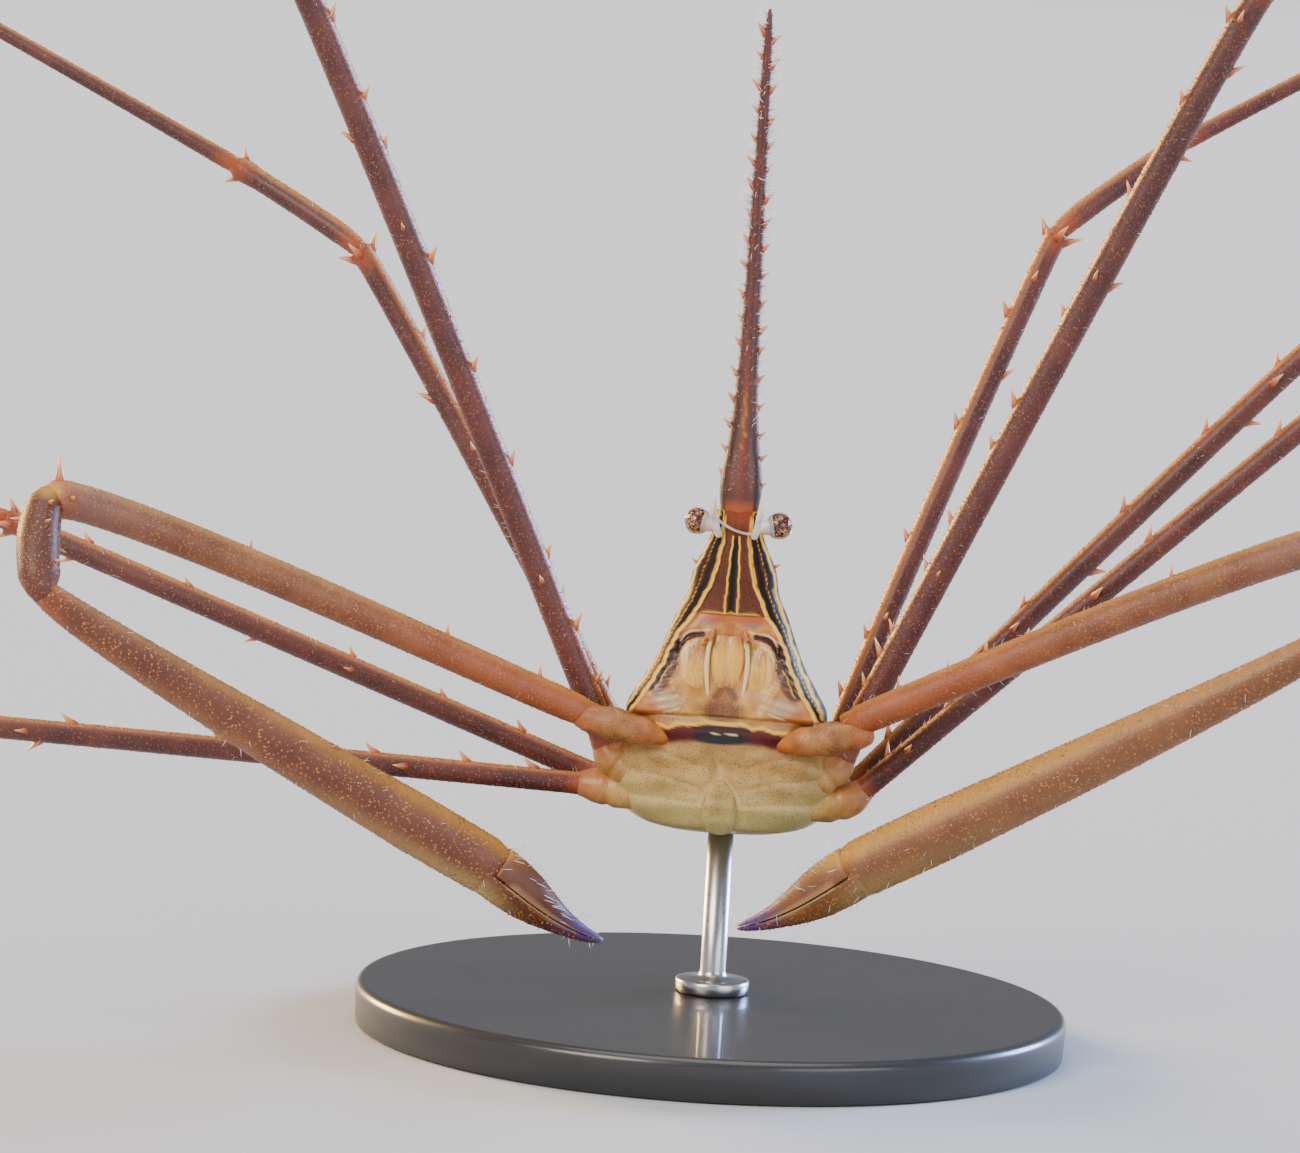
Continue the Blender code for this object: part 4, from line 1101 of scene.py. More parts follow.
# %% Thorn tree
thorns, given = new_tree("thorns_on_points", Shape="Object")
info = add(thorns, "GeometryNodeObjectInfo", {"Object": given["Shape"]}).outputs["Geometry"]
way = {"Vector": add(thorns, KEPT, {"Name": "way"}, data_type="FLOAT_VECTOR")}
aim = add(thorns, "FunctionNodeAlignRotationToVector", way, axis="Z")
size = add(thorns, KEPT, {"Name": "size"})
end_tree(thorns, given, stand_on(thorns, given["Geometry"], info, aim, size))

# %% [markdown]
# ## The tree for grains
# The shell is rough with rounded grains. Each is a small low cone of uneven size, smooth shaded, so
# it looks round at a fraction of the faces of a ball.

# %% Grain tree
grains, given = new_tree("grains_on_skin", Per_square_mm="Float", Radius="Float", Seed="Int")
scatter = scatter_on_skin(grains, given, "rough")
height = add(grains, "ShaderNodeMath", {0: given["Radius"], 1: 0.8}, operation="MULTIPLY")
cone = {"Vertices": 5, "Radius Top": 0.0, "Radius Bottom": given["Radius"], "Depth": height}
grain = add(grains, "GeometryNodeMeshCone", cone, fill_type="NONE")
sizes = {"Min": (0.5,) * 3, "Max": (1.25,) * 3}
sizes = add(grains, "FunctionNodeRandomValue", sizes, data_type="FLOAT_VECTOR")
real = stand_on(grains, scatter["Points"], grain, scatter["Rotation"], sizes)
end_tree(grains, given, add(grains, "GeometryNodeSetShadeSmooth", {"Geometry": real}))

# %% [markdown]
# ## The tree for bristles
# Bristles lean from the skin's normal towards the limb's far end, by a way kept on the skin, and
# stray a little. The last step writes the map that the export bakes them on: a small patch for each
# bristle, at its root's place.

# %% Bristle tree
PATCH = 0.003  # side of a bristle's patch on the map
bristles, given = new_tree(
    "bristles_on_skin", Shape="Object", Per_square_mm="Float", Length="Float", Lean="Float", Seed="Int"
)
scatter = scatter_on_skin(bristles, given, "hairy")
lean = {0: add(bristles, KEPT, {"Name": "along"}, data_type="FLOAT_VECTOR"), "Scale": given["Lean"]}
lean = add(bristles, "ShaderNodeVectorMath", lean, operation="SCALE")
tilted = add(bristles, "ShaderNodeVectorMath", {0: scatter["Normal"], 1: lean}, operation="ADD")
stray = {"Min": (-0.4,) * 3, "Max": (0.4,) * 3}
stray = add(bristles, "FunctionNodeRandomValue", stray, data_type="FLOAT_VECTOR")
tilted = add(bristles, "ShaderNodeVectorMath", {0: tilted, 1: stray}, operation="ADD")
aim = add(bristles, "FunctionNodeAlignRotationToVector", {"Vector": tilted}, axis="Z")
info = add(bristles, "GeometryNodeObjectInfo", {"Object": given["Shape"]}).outputs["Geometry"]
longer = add(bristles, "FunctionNodeRandomValue", {2: 0.6, 3: 1.3})
size = add(bristles, "ShaderNodeMath", {0: given["Length"], 1: longer}, operation="MULTIPLY")
real = stand_on(bristles, scatter["Points"], info, aim, size)
up = add(bristles, KEPT, {"Name": "up"})
corner = add(bristles, "ShaderNodeCombineXYZ", {"X": up, "Y": up})
corner = add(bristles, "ShaderNodeVectorMath", {0: corner, "Scale": PATCH}, operation="SCALE")
place = {0: add(bristles, KEPT, {"Name": "unrolled"}, data_type="FLOAT_VECTOR"), 1: corner}
place = add(bristles, "ShaderNodeVectorMath", place, operation="ADD")
mapped = {"Geometry": real, "Name": "OFBake", "Value": place}
mapped = add(bristles, "GeometryNodeStoreNamedAttribute", mapped, data_type="FLOAT2", domain="CORNER")
end_tree(bristles, given, mapped)


# %% [markdown]
# ## Growing
# A tree is run on a bed, which is a mesh made only for this. The result is kept as a plain mesh, so
# the file needs no live modifier.


# %% Growing
def grow(name, bed, tree, slot, finish, **values):
    """Runs a tree on the bed's mesh, keeps the result as a plain mesh, and rides it on the body."""
    live = bed.modifiers.new("grow", "NODES")
    live.node_group = tree
    titles = {item.name: item.identifier for item in tree.interface.items_tree if item.in_out == "INPUT"}
    for title, value in {**values, "Material": FINISHES[finish]}.items():
        live[titles[title.replace("_", " ")]] = value
    bpy.context.view_layer.update()
    graph = bpy.context.evaluated_depsgraph_get()
    mesh = bpy.data.meshes.new_from_object(bed.evaluated_get(graph))
    bed.modifiers.clear()
    mesh.name = name
    settle(show(name, mesh), slot)


# %% [markdown]
# ## Finishes of the small things
# Thorns are orange with pale tips. Grains are pale orange on the claws, where their tops are worn
# clear of pigment, and darker on the legs. Bristles are stiff hairs of clear chitin, so light passes
# through them.

# %% Thorn, grain and bristle finishes
shell("thorn_chitin", ("#9c3409", "#b84d14"), (("up", "#f2c084"),), rough=0.32, coat=0.3, wax=0.1)
shell("grain_chitin", ("#84481f", "#b5763a"), cloud=1.0)
shell("leg_grain_chitin", ("#5a2a1a", "#96552c"), cloud=1.0)
shell("clear_bristle", ("#cdd0d8", "#eef0f4"), rough=0.3, cloud=4.0, wax=0.2)
print("trees:", thorns.name, grains.name, bristles.name)

# %% [markdown]
# ## Legs
# Each article is its own piece, as it is a separate stiff tube in life, and its root reaches a little
# into the one before it, where the soft joint skin would be. Two rows of thorns run along the upper
# and lower edges of the merus and a crown of them rings its far end, the knee.


# %% Limb tools
THORN_TURN, THORN_LEAN = (-12, 12), (0.8, 1.3)  # how far thorns stray, in degrees, and lean


def upward(axis, x, y, z):
    """1 along a tube's upper edge, 0 on its front and back and -1 along its lower edge."""
    middle = np.array([place[:] for place in axis])
    way = (middle[-1] - middle[0]) / np.linalg.norm(middle[-1] - middle[0])
    across = np.array((0, 0, 1.0)) - way * way[2]
    points = np.stack([x, y, z], axis=-1)
    off = points - middle[((points[:, None] - middle[None]) ** 2).sum(-1).argmin(1)]
    return off @ across / (np.linalg.norm(across) * np.maximum(np.linalg.norm(off, axis=1), 1e-6))


def upper_edge(axis, start, over, amount=1.0):
    """A rule: amount along a tube's upper edge, from 0 where upward is start."""
    return lambda x, y, z: amount * np.clip((upward(axis, x, y, z) - start) / over, 0, 1)


def thorn_at(axis, radii, share, angle, lean, size):
    """A thorn's root, its way and its size. The angle turns from the upper edge towards the front."""
    at = share * (len(axis) - 1)
    i = min(int(at), len(axis) - 2)
    way = (axis[i + 1] - axis[i]).normalized()
    across, through = cross_ways(way)
    across = -across if across.dot(UP) < 0 else across
    out = across * math.cos(math.radians(angle)) + through * math.sin(math.radians(angle))
    return axis[i].lerp(axis[i + 1], at - i) + out * radii[i] * 0.9, (out + way * lean).normalized(), size


def thorn_row(axis, radii, chance, angle, step, first, last, length):
    """Thorns about step mm apart between two shares of a tube's length."""
    span = (axis[-1] - axis[0]).length
    place = first * span + step * chance.random()
    found = []
    while place < last * span:
        turn = angle + chance.uniform(*THORN_TURN)
        lean = chance.uniform(*THORN_LEAN)
        size = length * chance.uniform(0.75, 1.2)
        found.append(thorn_at(axis, radii, place / span, turn, lean, size))
        place += step * chance.uniform(0.8, 1.25)
    return found


# %% [markdown]
# ## Beds
# Thorns grow from a bed of bare points. Grains and bristles grow from a copy of a limb's skins,
# without their end caps, which sit hidden in the joints.


# %% Beds
def skin_bed(parts):
    """One mesh of a limb's skins, with what the trees read kept on its points.

    A part is its mesh, how many points a ring has, its way, and how rough and hairy it is. A tube's
    upper and lower edges are the roughest and hairiest.
    """
    points, faces = [], []
    rows_of = {"rough": [], "hairy": [], "along": [], "unrolled": []}
    for number, (mesh, sides, way, rough, hairy) in enumerate(parts):
        start, rows = len(points), len(mesh.vertices) // sides
        points += [vert.co[:] for vert in mesh.vertices]
        faces += [[start + i for i in face.vertices] for face in mesh.polygons if len(face.vertices) == 4]
        for i in range(len(mesh.vertices)):
            row, turn = divmod(i, sides)
            edge = abs(math.cos(2 * math.pi * (turn + 0.5) / sides))
            rows_of["rough"].append(rough * (0.55 + 0.8 * edge**3))
            rows_of["hairy"].append(hairy * (0.08 + edge**3))
            rows_of["along"].append(way[:])
            rows_of["unrolled"].append(((number + row / rows) / len(parts), turn / sides, 0.0))
    mesh = bpy.data.meshes.new("skin_bed")
    mesh.from_pydata(points, [], faces)
    for name, values in rows_of.items():
        keep_values(mesh, name, values)
    return show("bed", mesh)


def grow_thorns(name, slot, found):
    """Thorns from their roots, ways and sizes, in one piece."""
    mesh = bpy.data.meshes.new("thorn_bed")
    mesh.from_pydata([root * MM for root, _, _ in found], [], [])
    keep_values(mesh, "way", [way[:] for _, way, _ in found])
    keep_values(mesh, "size", [size for _, _, size in found])
    bed = show("bed", mesh)
    grow(name, bed, thorns, slot, "thorn_chitin", Shape=thorn_shape)
    bpy.data.objects.remove(bed)


def grow_grains(name, bed, slot, seed, per_mm2=17.0, radius=0.068 * MM):
    finish = "leg_grain_chitin" if slot == "leg" else "grain_chitin"
    grow(name, bed, grains, slot, finish, Per_square_mm=per_mm2, Radius=radius, Seed=seed)


def grow_bristles(name, bed, slot, seed, per_mm2=1.1, length=0.42, lean=0.6):
    inputs = {"Shape": bristle_shape, "Per_square_mm": per_mm2, "Length": length, "Lean": lean}
    grow(name, bed, bristles, slot, "clear_bristle", Seed=seed, **inputs)


def dress_limb(name, slot, parts, found, seed):
    """The thorns, grains and bristles of one limb."""
    grow_thorns(f"{name}_thorns", slot, found)
    bed = skin_bed(parts)
    grow_grains(f"{name}_grains", bed, slot, seed)
    grow_bristles(f"{name}_bristles", bed, slot, seed + 50)
    bpy.data.objects.remove(bed)


# %% [markdown]
# The four articles of a leg share one recipe. The colour turns orange near each joint, where the
# shell is thin, and the last article ends in a dark horny claw. A painted highlight, yellow and
# orange, runs along each article's upper edge.

# %% Legs
LEG_SIDES, LEG_RING_STEP = 20, 0.8
COXA_SIDES, COXA_STEPS = 28, 24
REACH_IN = 0.35  # how far an article's root reaches into the one before it, in mm
EDGE_THORNS = {
    # leg: shares of the merus's length on its upper edge and on its lower edge, from the picture
    "leg_2_left": ((0.176, 0.217, 0.245, 0.314, 0.359, 0.429, 0.466, 0.545, 0.654, 0.75, 0.86), (0.58, 0.8)),
    "leg_2_right": ((0.16, 0.23, 0.305, 0.39, 0.47, 0.56, 0.659, 0.705, 0.79, 0.877), (0.674, 0.833, 0.882)),
    "leg_3_left": ((0.15, 0.26, 0.37, 0.52, 0.68, 0.84), (0.45, 0.72)),
    "leg_3_right": ((0.16, 0.253, 0.353, 0.5, 0.64, 0.737, 0.87), (0.4, 0.672)),
    "leg_4_left": ((0.18, 0.3, 0.42, 0.57, 0.7, 0.85), (0.5, 0.75)),
    "leg_4_right": ((0.22, 0.334, 0.444, 0.638, 0.78, 0.9), (0.55, 0.8)),
    "leg_5_left": ((0.25, 0.336, 0.46, 0.601, 0.76), (0.68,)),
    "leg_5_right": ((0.25, 0.38, 0.55, 0.74), (0.66,)),
}
FACE_ROWS = ((80, 17), (-100, 12))  # angle from the upper edge, 90 being the front, and spacing in mm
KNEE_ANGLES = (0, 100, 180)


def make_leg(name, root, articles, seed):
    number, side = int(name[4]), 1 if name.endswith("left") else -1
    chance = random.Random(name)
    places, ways = chain(root, articles, side)
    starts = [way_of(side, *HIND_START) if number == 5 else ways[0]]
    starts += [between(a, b) for a, b in zip(ways, ways[1:])]
    ends = starts[1:] + [way_of(side, articles[-1][1] - 25, articles[-1][2])]
    radius = LEG_RADIUS[number]
    parts, found = [], []
    for i, part in enumerate(ARTICLES):
        length, last = articles[i][0], part == "dactyl"
        count = max(16, round(length / LEG_RING_STEP))
        handle = length * 0.33 if last else 1.9 * radius
        axis = curve(places[i], places[i + 1], starts[i], ends[i], handle, count, REACH_IN)
        radii = radii_along(part, radius, count)
        skin = skinned(tube(axis, radii, sides=LEG_SIDES, rounded=(False, True)))
        made = piece(f"{name}_{part}_shell", skin, "limb_chitin", "leg", f"{name}_{part}")
        paint(
            made,
            # The yellow and the orange along the upper edge are a painted highlight; the orange near the
            # joints is the shell's own colour.
            yellow=upper_edge(axis, 0.75, 0.2, 0.3),
            orange=[near(places[i : i + 2], 2.2, 0.75), upper_edge(axis, 0.6, 0.3, 0.55)],
            brown=near(places[-1:], 3.0, 0.8) if last else 0.0,
        )
        parts.append((made.data, LEG_SIDES, ways[i], 0.6 if last else 1.0, 1.0))
        if part == "merus":
            for angle, shares in zip((0, 180), EDGE_THORNS[name]):
                for share in shares:
                    turn, size = angle + chance.uniform(*THORN_TURN), chance.uniform(1.0, 1.4)
                    found.append(thorn_at(axis, radii, share, turn, chance.uniform(*THORN_LEAN), size))
            for angle, step in FACE_ROWS:
                found += thorn_row(axis, radii, chance, angle, step, 0.12, 0.93, 1.0)
            found += [thorn_at(axis, radii, 0.965, angle, 0.9, 1.35) for angle in KNEE_ANGLES]
        if part == "carpus":
            found += [thorn_at(axis, radii, 0.92, angle, 0.9, 1.1) for angle in (0, 180)]
    dress_limb(name, "leg", parts, found, seed)
    make_coxa(name, number, side, places[0], starts[0])


def make_coxa(name, number, side, root, way):
    """The short base that joins the leg to the sternum."""
    inner = Vector(mirrored(side, [COXA_INNER[number]])[0])
    axis = curve(inner, root + way * 0.3, (root - inner).normalized(), way, 1.5, COXA_STEPS)
    radii = radii_along("coxa", COXA_RADIUS[number], COXA_STEPS)
    skin = tube(axis, radii, sides=COXA_SIDES, rounded=(False, True))
    paint(
        piece(f"{name}_coxa", skinned(skin), "pale_chitin", "belly"),
        orange=[near([root + way * 0.4], 3.0, 0.6), near([inner.lerp(root, 0.6)], 1.2, 0.5)],
        brown=near([root + way * 0.8], 1.8, 0.4),
        dotted=0.6,
    )


for number, (name, (root, articles)) in enumerate(LIMBS.items()):
    make_leg(name, root, articles, 10 + number)
print("legs:", len(LIMBS))

# %% [markdown]
# ## Claws
# A claw limb has a thick orange-brown base, a long arm, a short wrist that folds the limb back, and a
# long palm. The lower finger grows out of the palm; the upper one hinges on it. Both are flat on
# their inner side, so that they shut, and violet along their far half.

# %% Claw tools
BASE = ((3.6, -3.6, 21.4), (4.8, -4.4, 21.7), (6.3, -4.95, 22.0), (8.2, -5.0, 22.35), (9.8, -4.8, 22.6))
BASE_SIDES, BASE_STEPS = 30, 30
BASE_WIDTHS = finer((0.45, 0.8, 1.06, 1.14, 0.8), BASE_STEPS)
BASE_WIDTHS = [width + 0.07 * math.sin(i * 0.75) for i, width in enumerate(BASE_WIDTHS)]  # a little ringed
ARM_THORNS = (0.17, 0.33, 0.6)  # shares of its length
WRIST_THORNS = ((0.3, 0), (0.4, 60), (0.5, -40), (0.72, 20), (0.75, -70), (0.2, 110))  # share, angle
PALM_DEPTH = 0.82  # as a share of its width
FINGER_SAG = 0.45
CLAW_SIDES, ARM_STEPS, WRIST_STEPS, PALM_STEPS, FINGER_STEPS = 28, 60, 24, 56, 28


def half_tube(path, widths, clip, gap):
    """Rings cut flat, keeping the side above (+1) or below (-1) the middle, gap mm away from it."""
    rings = []
    for i, centre in enumerate(path):
        across, through = cross_ways(way_at(path, i))
        ring = []
        for k in range(CLAW_SIDES):
            angle = 2 * math.pi * (k + 0.5) / CLAW_SIDES
            u = clip * max(clip * widths[i] * math.cos(angle), gap)
            ring.append(centre + across * u + through * (widths[i] * PALM_DEPTH) * math.sin(angle))
        rings.append(ring)
    return rings


# %% [markdown]
# ## Markings of the claws
# The arm and wrist are orange at their joints. A painted highlight runs along the arm's upper edge,
# with a painted glow above the knee, and the wrist is painted dark brown as shadow. The palm is banded
# along its length, with a painted lilac sheen above and brown at its middle, and a painted highlight
# along its upper edge grows towards the fingers. The fingers turn violet, with an orange and pale line
# where they meet.


# %% Claw markings
def reach_along(way, place, x, y, z):
    """How far the points lie from the place, counted along a way."""
    return (x - place.x) * way.x + (y - place.y) * way.y + (z - place.z) * way.z


def cutting_edge(finger, across, way, amount):
    """A rule: amount along the edges where the fingers meet."""

    def rule(x, y, z):
        far = np.full(x.shape, 1e9)
        for place in finger[5:]:
            past = np.clip(np.abs(reach_along(way, place, x, y, z)) - 0.3, 0, 9)
            far = np.minimum(far, np.abs(reach_along(across, place, x, y, z)) + past)
        return amount * np.clip(1 - (far - 0.1) / 0.12, 0, 1)

    return rule


def claw_piece(name, skin, node, axis, joints, knee, brown=0.0, glow=0.0, edge=0.0):
    made = piece(name, skinned(skin), "claw_chitin", "claw", node)
    paint(
        made,
        orange=[near(joints, 2.6, 0.6), near(joints[:1], 22.0, glow)],
        # brown darkens the whole piece as a painted shadow; only the wrist is given it.
        brown=brown,
        # The yellow along the upper edge is a painted highlight, edge giving its strength, and the yellow
        # spot above the knee is a painted glow.
        yellow=[upper_edge(axis, 0.6, 0.4, edge), near([knee + Vector((0, -0.8, 0.8))], 1.2, 0.5)],
        lilac=near(joints[1:], 9.0, 0.35),
    )
    return made


def hand_marks(palm, places, ways, finger, across, gold, lower):
    """The markings of the palm and both fingers, painted light among them: a highlight and a lilac sheen
    along the upper edge. Gold and lower tell the sunlit claw from the other: gold is painted sunlight over
    all of it, and lower takes its painted highlight further down and moves its brown band lower.
    """
    wrist, hinge, tip = places[3:6]
    span = hinge - wrist
    edges = [cutting_edge(finger, across, ways[4], amount) for amount in (0.35, 0.8)]
    dark = [tip - ways[4] * 2.0 + across * 0.5, tip - ways[4] * 3.0 - across * 0.7]

    def far_share(x, y, z):
        """0 at the wrist and 1 where the fingers begin."""
        return np.clip(reach_along(span, wrist, x, y, z) / span.length_squared, 0, 1)

    def band(centre, level, slope, amount):
        """A rule: amount along a line on the palm's front and back."""
        return lambda x, y, z: amount * np.clip(level - slope * np.abs(upward(palm, x, y, z) + centre), 0, 1)

    return {
        # yellow: gold is painted sunlight over the whole sunlit claw, and a painted highlight runs along the
        # upper edge, stronger towards the fingers.
        "yellow": lambda x, y, z: gold
        + (0.1 + 0.25 * far_share(x, y, z)) * upper_edge(palm, 0.6 - lower, 0.4)(x, y, z),
        "olive": lambda x, y, z: 0.6 * far_share(x, y, z) ** 4 * upper_edge(palm, -0.3, -0.5)(x, y, z),
        "maroon": band(0.0, 1.3, 1.6, 0.18 - gold),
        # lilac: a painted sheen along the upper edge of the palm's near half.
        "lilac": lambda x, y, z: upper_edge(palm, 0.3, 0.7, 0.35 - gold)(x, y, z)
        * np.clip(1.2 - 2 * far_share(x, y, z), 0, 1),
        "violet": near([tip - ways[4] * 0.5], 4.2, 0.9),
        "cream": [edges[0], near([tip], 0.8, 0.8)],
        "orange": [near([wrist], 3.0, 0.5), near([hinge], 1.4, 0.55), edges[1]],
        "brown": [
            near([hinge - ways[3] * 0.9 - across * 0.9], 0.7, 0.8), near(dark, 2.2, 0.7),
            band(1.4 * lower, 1.6, 1.6, 0.6 - gold),
        ],
    }


# %% [markdown]
# ## The claws themselves
# Each claw is made from its base outwards, and dressed with thorns, grains and bristles at the end.
# The left one catches the light in the picture, so its palm is more golden and the dark band along
# it sits lower.


# %% Claws
def make_claw(side, side_name, seed):
    name = f"cheliped_{side_name}"
    places, ways = chain(mirrored(side, [CLAW_ROOT])[0], CLAWS[side_name], side)
    cuts = [ways[0]] + [between(a, b) for a, b in zip(ways, ways[1:])]
    chance = random.Random(name)

    path = [Vector(point) for point in mirrored(side, finer(BASE, BASE_STEPS))]
    skin = tube(path, BASE_WIDTHS, [width * 0.94 for width in BASE_WIDTHS], BASE_SIDES)
    base = piece(f"{name}_base", skinned(skin), "root_chitin", "claw", f"{name}_ischium")
    paint(
        base,
        orange=[near([path[3]], 2.8, 0.85), near([path[29]], 2.0, 0.6)],
        maroon=both(
            lambda x, y, z: 0.5 * np.clip(2 * np.sin(np.abs(x) * 17 + z) - 0.9, 0, 1), near([path[1]], 2.2)
        ),
        brown=near([path[20]], 2.4, 0.4),
        # The yellow spot on the lobe is a painted highlight.
        yellow=near([path[7]], 1.1, 0.35),
        dotted=0.6,
    )

    axis = curve(places[1], places[2], cuts[1], cuts[2], 3.0, ARM_STEPS, 0.8)
    radii = radii_along("arm", 1.0, ARM_STEPS)
    skin = tube(axis, radii, sides=CLAW_SIDES, rounded=(False, True))
    # The arm's upper edge gets a painted highlight of 0.25.
    arm = claw_piece(f"{name}_arm", skin, f"{name}_merus", axis, places[1:3], places[2], glow=0.4, edge=0.25)
    found = [thorn_at(axis, radii, share, 0, 0.4, 1.0) for share in ARM_THORNS]
    found += thorn_row(axis, radii, chance, -80, 9, 0.24, 0.8, 0.85)
    found += [thorn_at(axis, radii, 0.95, 0, 0.1, 1.8), thorn_at(axis, radii, 0.92, 75, 0.2, 1.1)]

    axis = curve(places[2], places[3], cuts[2], cuts[3], 1.3, WRIST_STEPS, REACH_IN)
    radii = radii_along("wrist", 1.0, WRIST_STEPS)
    skin = tube(axis, radii, sides=CLAW_SIDES)
    # The wrist is painted dark brown as shadow.
    wrist = claw_piece(f"{name}_wrist", skin, f"{name}_carpus", axis, places[2:4], places[2], brown=0.85)
    found += [thorn_at(axis, radii, share, angle, 0.2, 0.9) for share, angle in WRIST_THORNS]

    palm = curve(places[3], places[4], cuts[3], ways[3], 2.2, PALM_STEPS, REACH_IN)
    radii = radii_along("palm", 1.0, PALM_STEPS)
    skin = tube(palm, radii, [r * PALM_DEPTH for r in radii], CLAW_SIDES, rounded=(False, True))
    upper_side = 1 if cross_ways(ways[3])[0].z > 0 else -1
    across = cross_ways(ways[4])[0] * upper_side
    finger = curve(places[4], places[5], ways[3], ways[4], 2.5, FINGER_STEPS, 0.9)
    for i, place in enumerate(finger):
        finger[i] = place - across * FINGER_SAG * math.sin(math.pi * (i / FINGER_STEPS) ** 1.4)
    widths = radii_along("finger", 1.0, FINGER_STEPS)
    lower_finger = half_tube(finger, widths, -upper_side, 0.05)
    hand = piece(f"{name}_hand", skinned(skin, lower_finger), "claw_chitin", "claw", f"{name}_propodus")
    upper_finger = half_tube(finger[1:], widths[1:], upper_side, 0.07)
    dactyl = piece(f"{name}_finger", skinned(upper_finger), "claw_chitin", "finger", f"{name}_dactyl")
    # The left claw is painted as sunlit: a little gold all over, a painted highlight that reaches further
    # down, and a lower brown band.
    gold, lower = (0.05, 0.3) if side > 0 else (0.0, 0.0)
    for thing in (hand, dactyl):
        paint(thing, **hand_marks(palm, places, ways, finger, across, gold, lower))

    parts = [
        (base.data, BASE_SIDES, ways[0], 0.7, 0.2), (arm.data, CLAW_SIDES, ways[1], 1.0, 0.6),
        (wrist.data, CLAW_SIDES, ways[2], 1.0, 0.3),
    ]
    dress_limb(name, "claw", parts, found, seed)
    bed = skin_bed([(hand.data, CLAW_SIDES, ways[3], 0.9, 0.7)])
    grow_grains(f"{name}_hand_grains", bed, "claw", seed + 1, 16.0, 0.085 * MM)
    grow_bristles(f"{name}_hand_bristles", bed, "claw", seed + 2, 0.9, 0.6, 0.5)
    bpy.data.objects.remove(bed)
    bed = skin_bed([(dactyl.data, CLAW_SIDES, ways[4], 0.0, 1.6)])
    grow_bristles(f"{name}_finger_bristles", bed, "finger", seed + 3, 2.4, 1.05, 0.3)
    bpy.data.objects.remove(bed)


for number, (side, side_name) in enumerate(BOTH_SIDES):
    make_claw(side, side_name, 30 + 10 * number)
print("claws:", len(CLAWS))

# %% [markdown]
# ## Thorns and bristles of the beak
# Eighteen thorns stand on each side of the rostrum, aimed at its tip, and one on each side of the
# shell below it. Bristles surround its upper two thirds and grow denser towards the tip.

# %% Beak thorns and bristles
ROSTRUM_THORNS, THORN_START, THORN_END = 18, 38.9, 71.6
SHOULDER = 33.4  # height of the thorn on the shell
chance = random.Random(7)
found = []
for side, _ in BOTH_SIDES:
    for i in range(ROSTRUM_THORNS):
        share = (i + (0.0 if side > 0 else 0.35)) / ROSTRUM_THORNS
        height = THORN_START + (THORN_END - THORN_START) * share + chance.uniform(-0.25, 0.25)
        way = Vector((side, chance.uniform(-0.35, 0.35), chance.uniform(0.8, 1.2))).normalized()
        root = rostrum_centre(height) + Vector((side * table(ROSTRUM, height, 1) * 0.9, 0, 0))
        found.append((root, way, 0.95 * chance.uniform(0.8, 1.15)))
for side, _ in BOTH_SIDES:
    root = Vector((side * table(CARAPACE, SHOULDER, 1) * 0.97, table(CARAPACE, SHOULDER, 3) + 0.3, SHOULDER))
    found.append((root, Vector((side, -0.1, 0.6)).normalized(), 0.7))
grow_thorns("rostrum_thorns", "rostrum", found)

bed = skin_bed([(rostrum.data, ROSTRUM_SIDES, UP, 1.0, 1.0)])
share = np.clip((np.array([v.co.z / MM for v in bed.data.vertices]) - 42) / 20, 0, 1)
hairy = np.empty(len(share), np.float32)
bed.data.attributes["hairy"].data.foreach_get("value", hairy)
bed.data.attributes["hairy"].data.foreach_set("value", (hairy * (0.05 + 2.4 * share)).astype(np.float32))
grow_bristles("rostrum_bristles", bed, "rostrum", 3, 8.5, 0.95, 0.25)
grow_grains("rostrum_grains", bed, "rostrum", 4, 2.5, 0.06 * MM)
for thing in (bed, thorn_shape, bristle_shape):
    bpy.data.objects.remove(thing)

# %% [markdown]
# ## The stand
# The round base is sprayed metal under satin lacquer, with the faint orange-peel that a spray gun
# leaves. The rod is turned steel, brushed along its turning, so its marks run round it.

# %% Stand finishes
tree, shader = new_finish("satin_lacquer", Coat_Weight=0.3)
place = add(tree, "ShaderNodeTexCoord").outputs["Object"]
peel = add(tree, "ShaderNodeTexNoise", {"Vector": place, "Scale": 1 / (0.7 * MM), "Detail": 2.0})
dust = add(tree, "ShaderNodeTexNoise", {"Vector": place, "Scale": 1 / (9 * MM), "Detail": 6.0})
gloss = add(tree, "ShaderNodeMapRange", {"Value": dust, "To Min": 0.26, "To Max": 0.42})
greys = {0: dust, 6: linear("#222224"), 7: linear("#2f2f32")}
colour = add(tree, "ShaderNodeMix", greys, data_type="RGBA")
bump = add(tree, "ShaderNodeBump", {"Height": peel, "Strength": 0.15, "Distance": 0.02 * MM})
fill(shader, {"Base Color": colour, "Roughness": gloss, "Normal": bump})

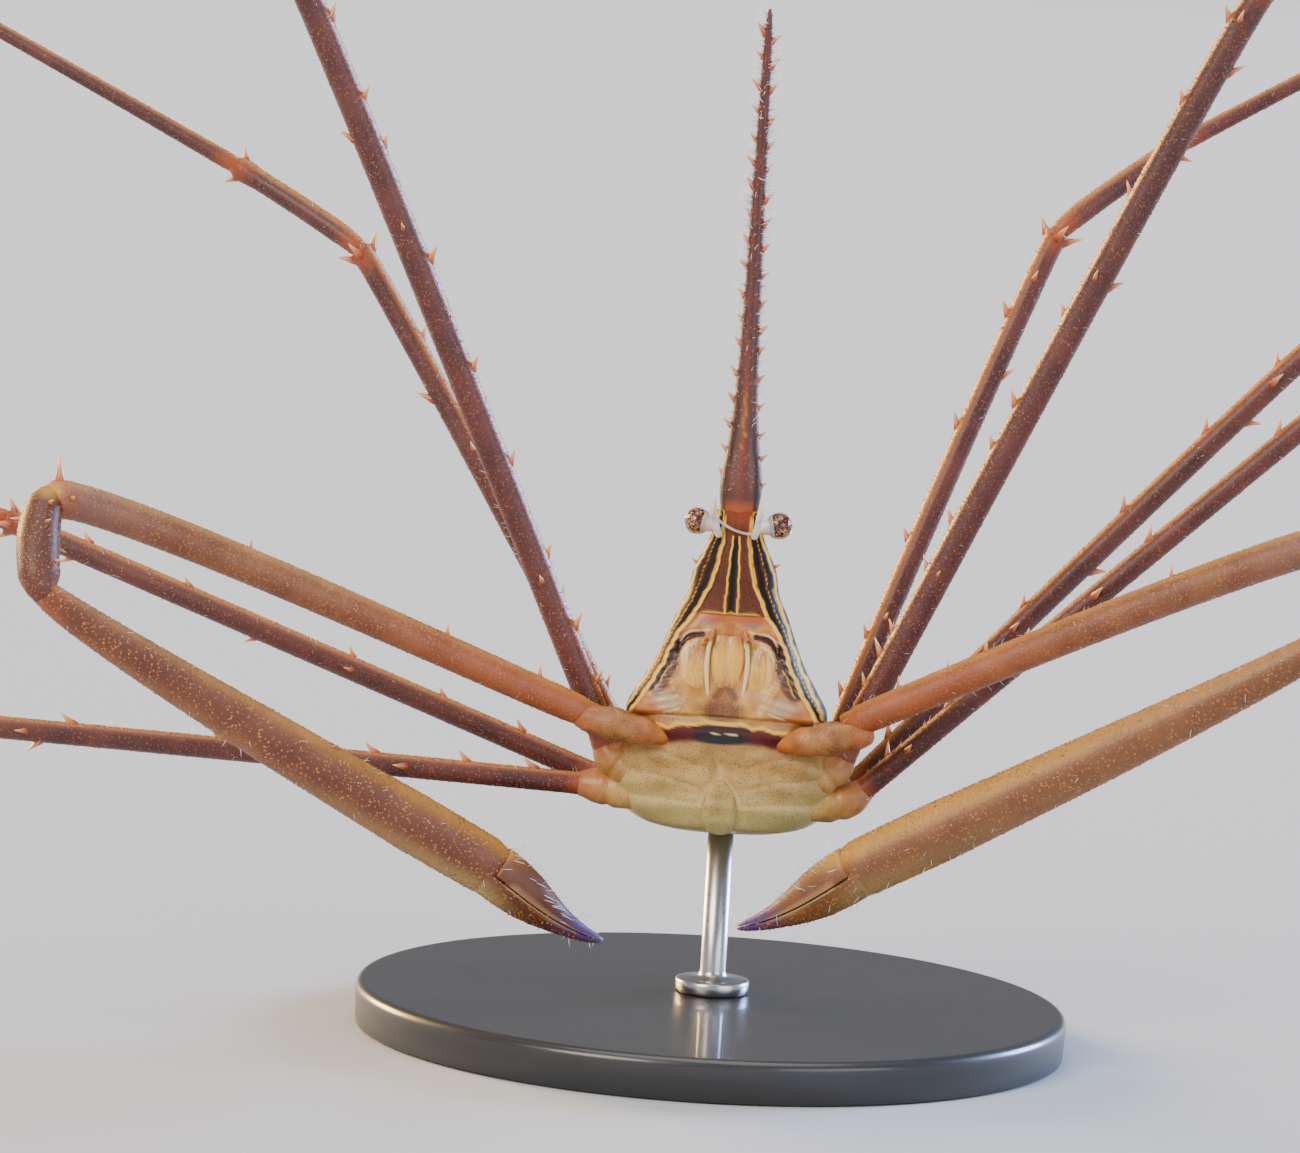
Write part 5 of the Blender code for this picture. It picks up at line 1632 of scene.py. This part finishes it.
tree, shader = new_finish("brushed_steel", Base_Color=linear("#b9b9bb"), Metallic=1.0)
place = add(tree, "ShaderNodeTexCoord").outputs["Object"]
stretched = add(tree, "ShaderNodeMapping", {"Vector": place, "Scale": (0.05, 0.05, 1.0)})
lines = add(tree, "ShaderNodeTexNoise", {"Vector": stretched, "Scale": 1 / (0.12 * MM), "Detail": 3.0})
gloss = add(tree, "ShaderNodeMapRange", {"Value": lines, "To Min": 0.2, "To Max": 0.42})
bump = add(tree, "ShaderNodeBump", {"Height": lines, "Strength": 0.2, "Distance": 0.01 * MM})
fill(shader, {"Roughness": gloss, "Normal": bump})

# %% Stand base and rod
BASE_RADIUS, BASE_HEIGHT, BASE_EDGE, EDGE_STEPS = 25.0, 3.0, 0.6, 8
ROD_Y, ROD_FOOT = 0.6, 3.02  # the rod stands a hair above the base
ROD_PROFILE = (
    # radius, height above its foot
    (2.45, 0.0), (2.6, 0.12), (2.6, 0.85), (2.52, 0.96), (2.35, 1.0), (1.5, 1.02), (1.15, 1.1),
    (0.96, 1.3), (0.9, 1.6), (0.9, 11.58),
)


def turned(profile, sides, y=0.0):
    """Rings of a turned solid about an upright axis through (radius, height) in mm."""
    turns = [2 * math.pi * i / sides for i in range(sides)]
    ways = [(math.cos(a), math.sin(a)) for a in turns]
    return [[(radius * u, y + radius * v, height) for u, v in ways] for radius, height in profile]


profile = [(BASE_RADIUS - BASE_EDGE, 0.0), (BASE_RADIUS - 0.1, 0.15)]
for i in range(EDGE_STEPS + 1):
    angle = math.pi / 2 * i / EDGE_STEPS
    inward, down = BASE_EDGE * (1 - math.cos(angle)), BASE_EDGE * (1 - math.sin(angle))
    profile.append((BASE_RADIUS - inward, BASE_HEIGHT - down))
profile += [(BASE_RADIUS - BASE_EDGE - 0.2, BASE_HEIGHT), (1.0, BASE_HEIGHT)]
piece("stand_base_turned", skinned(turned(profile, 160)), "satin_lacquer", "base", "stand_base")
profile = [(radius, ROD_FOOT + height) for radius, height in ROD_PROFILE]
piece("stand_rod_turned", skinned(turned(profile, 64, ROD_Y)), "brushed_steel", "rod", "stand_rod")
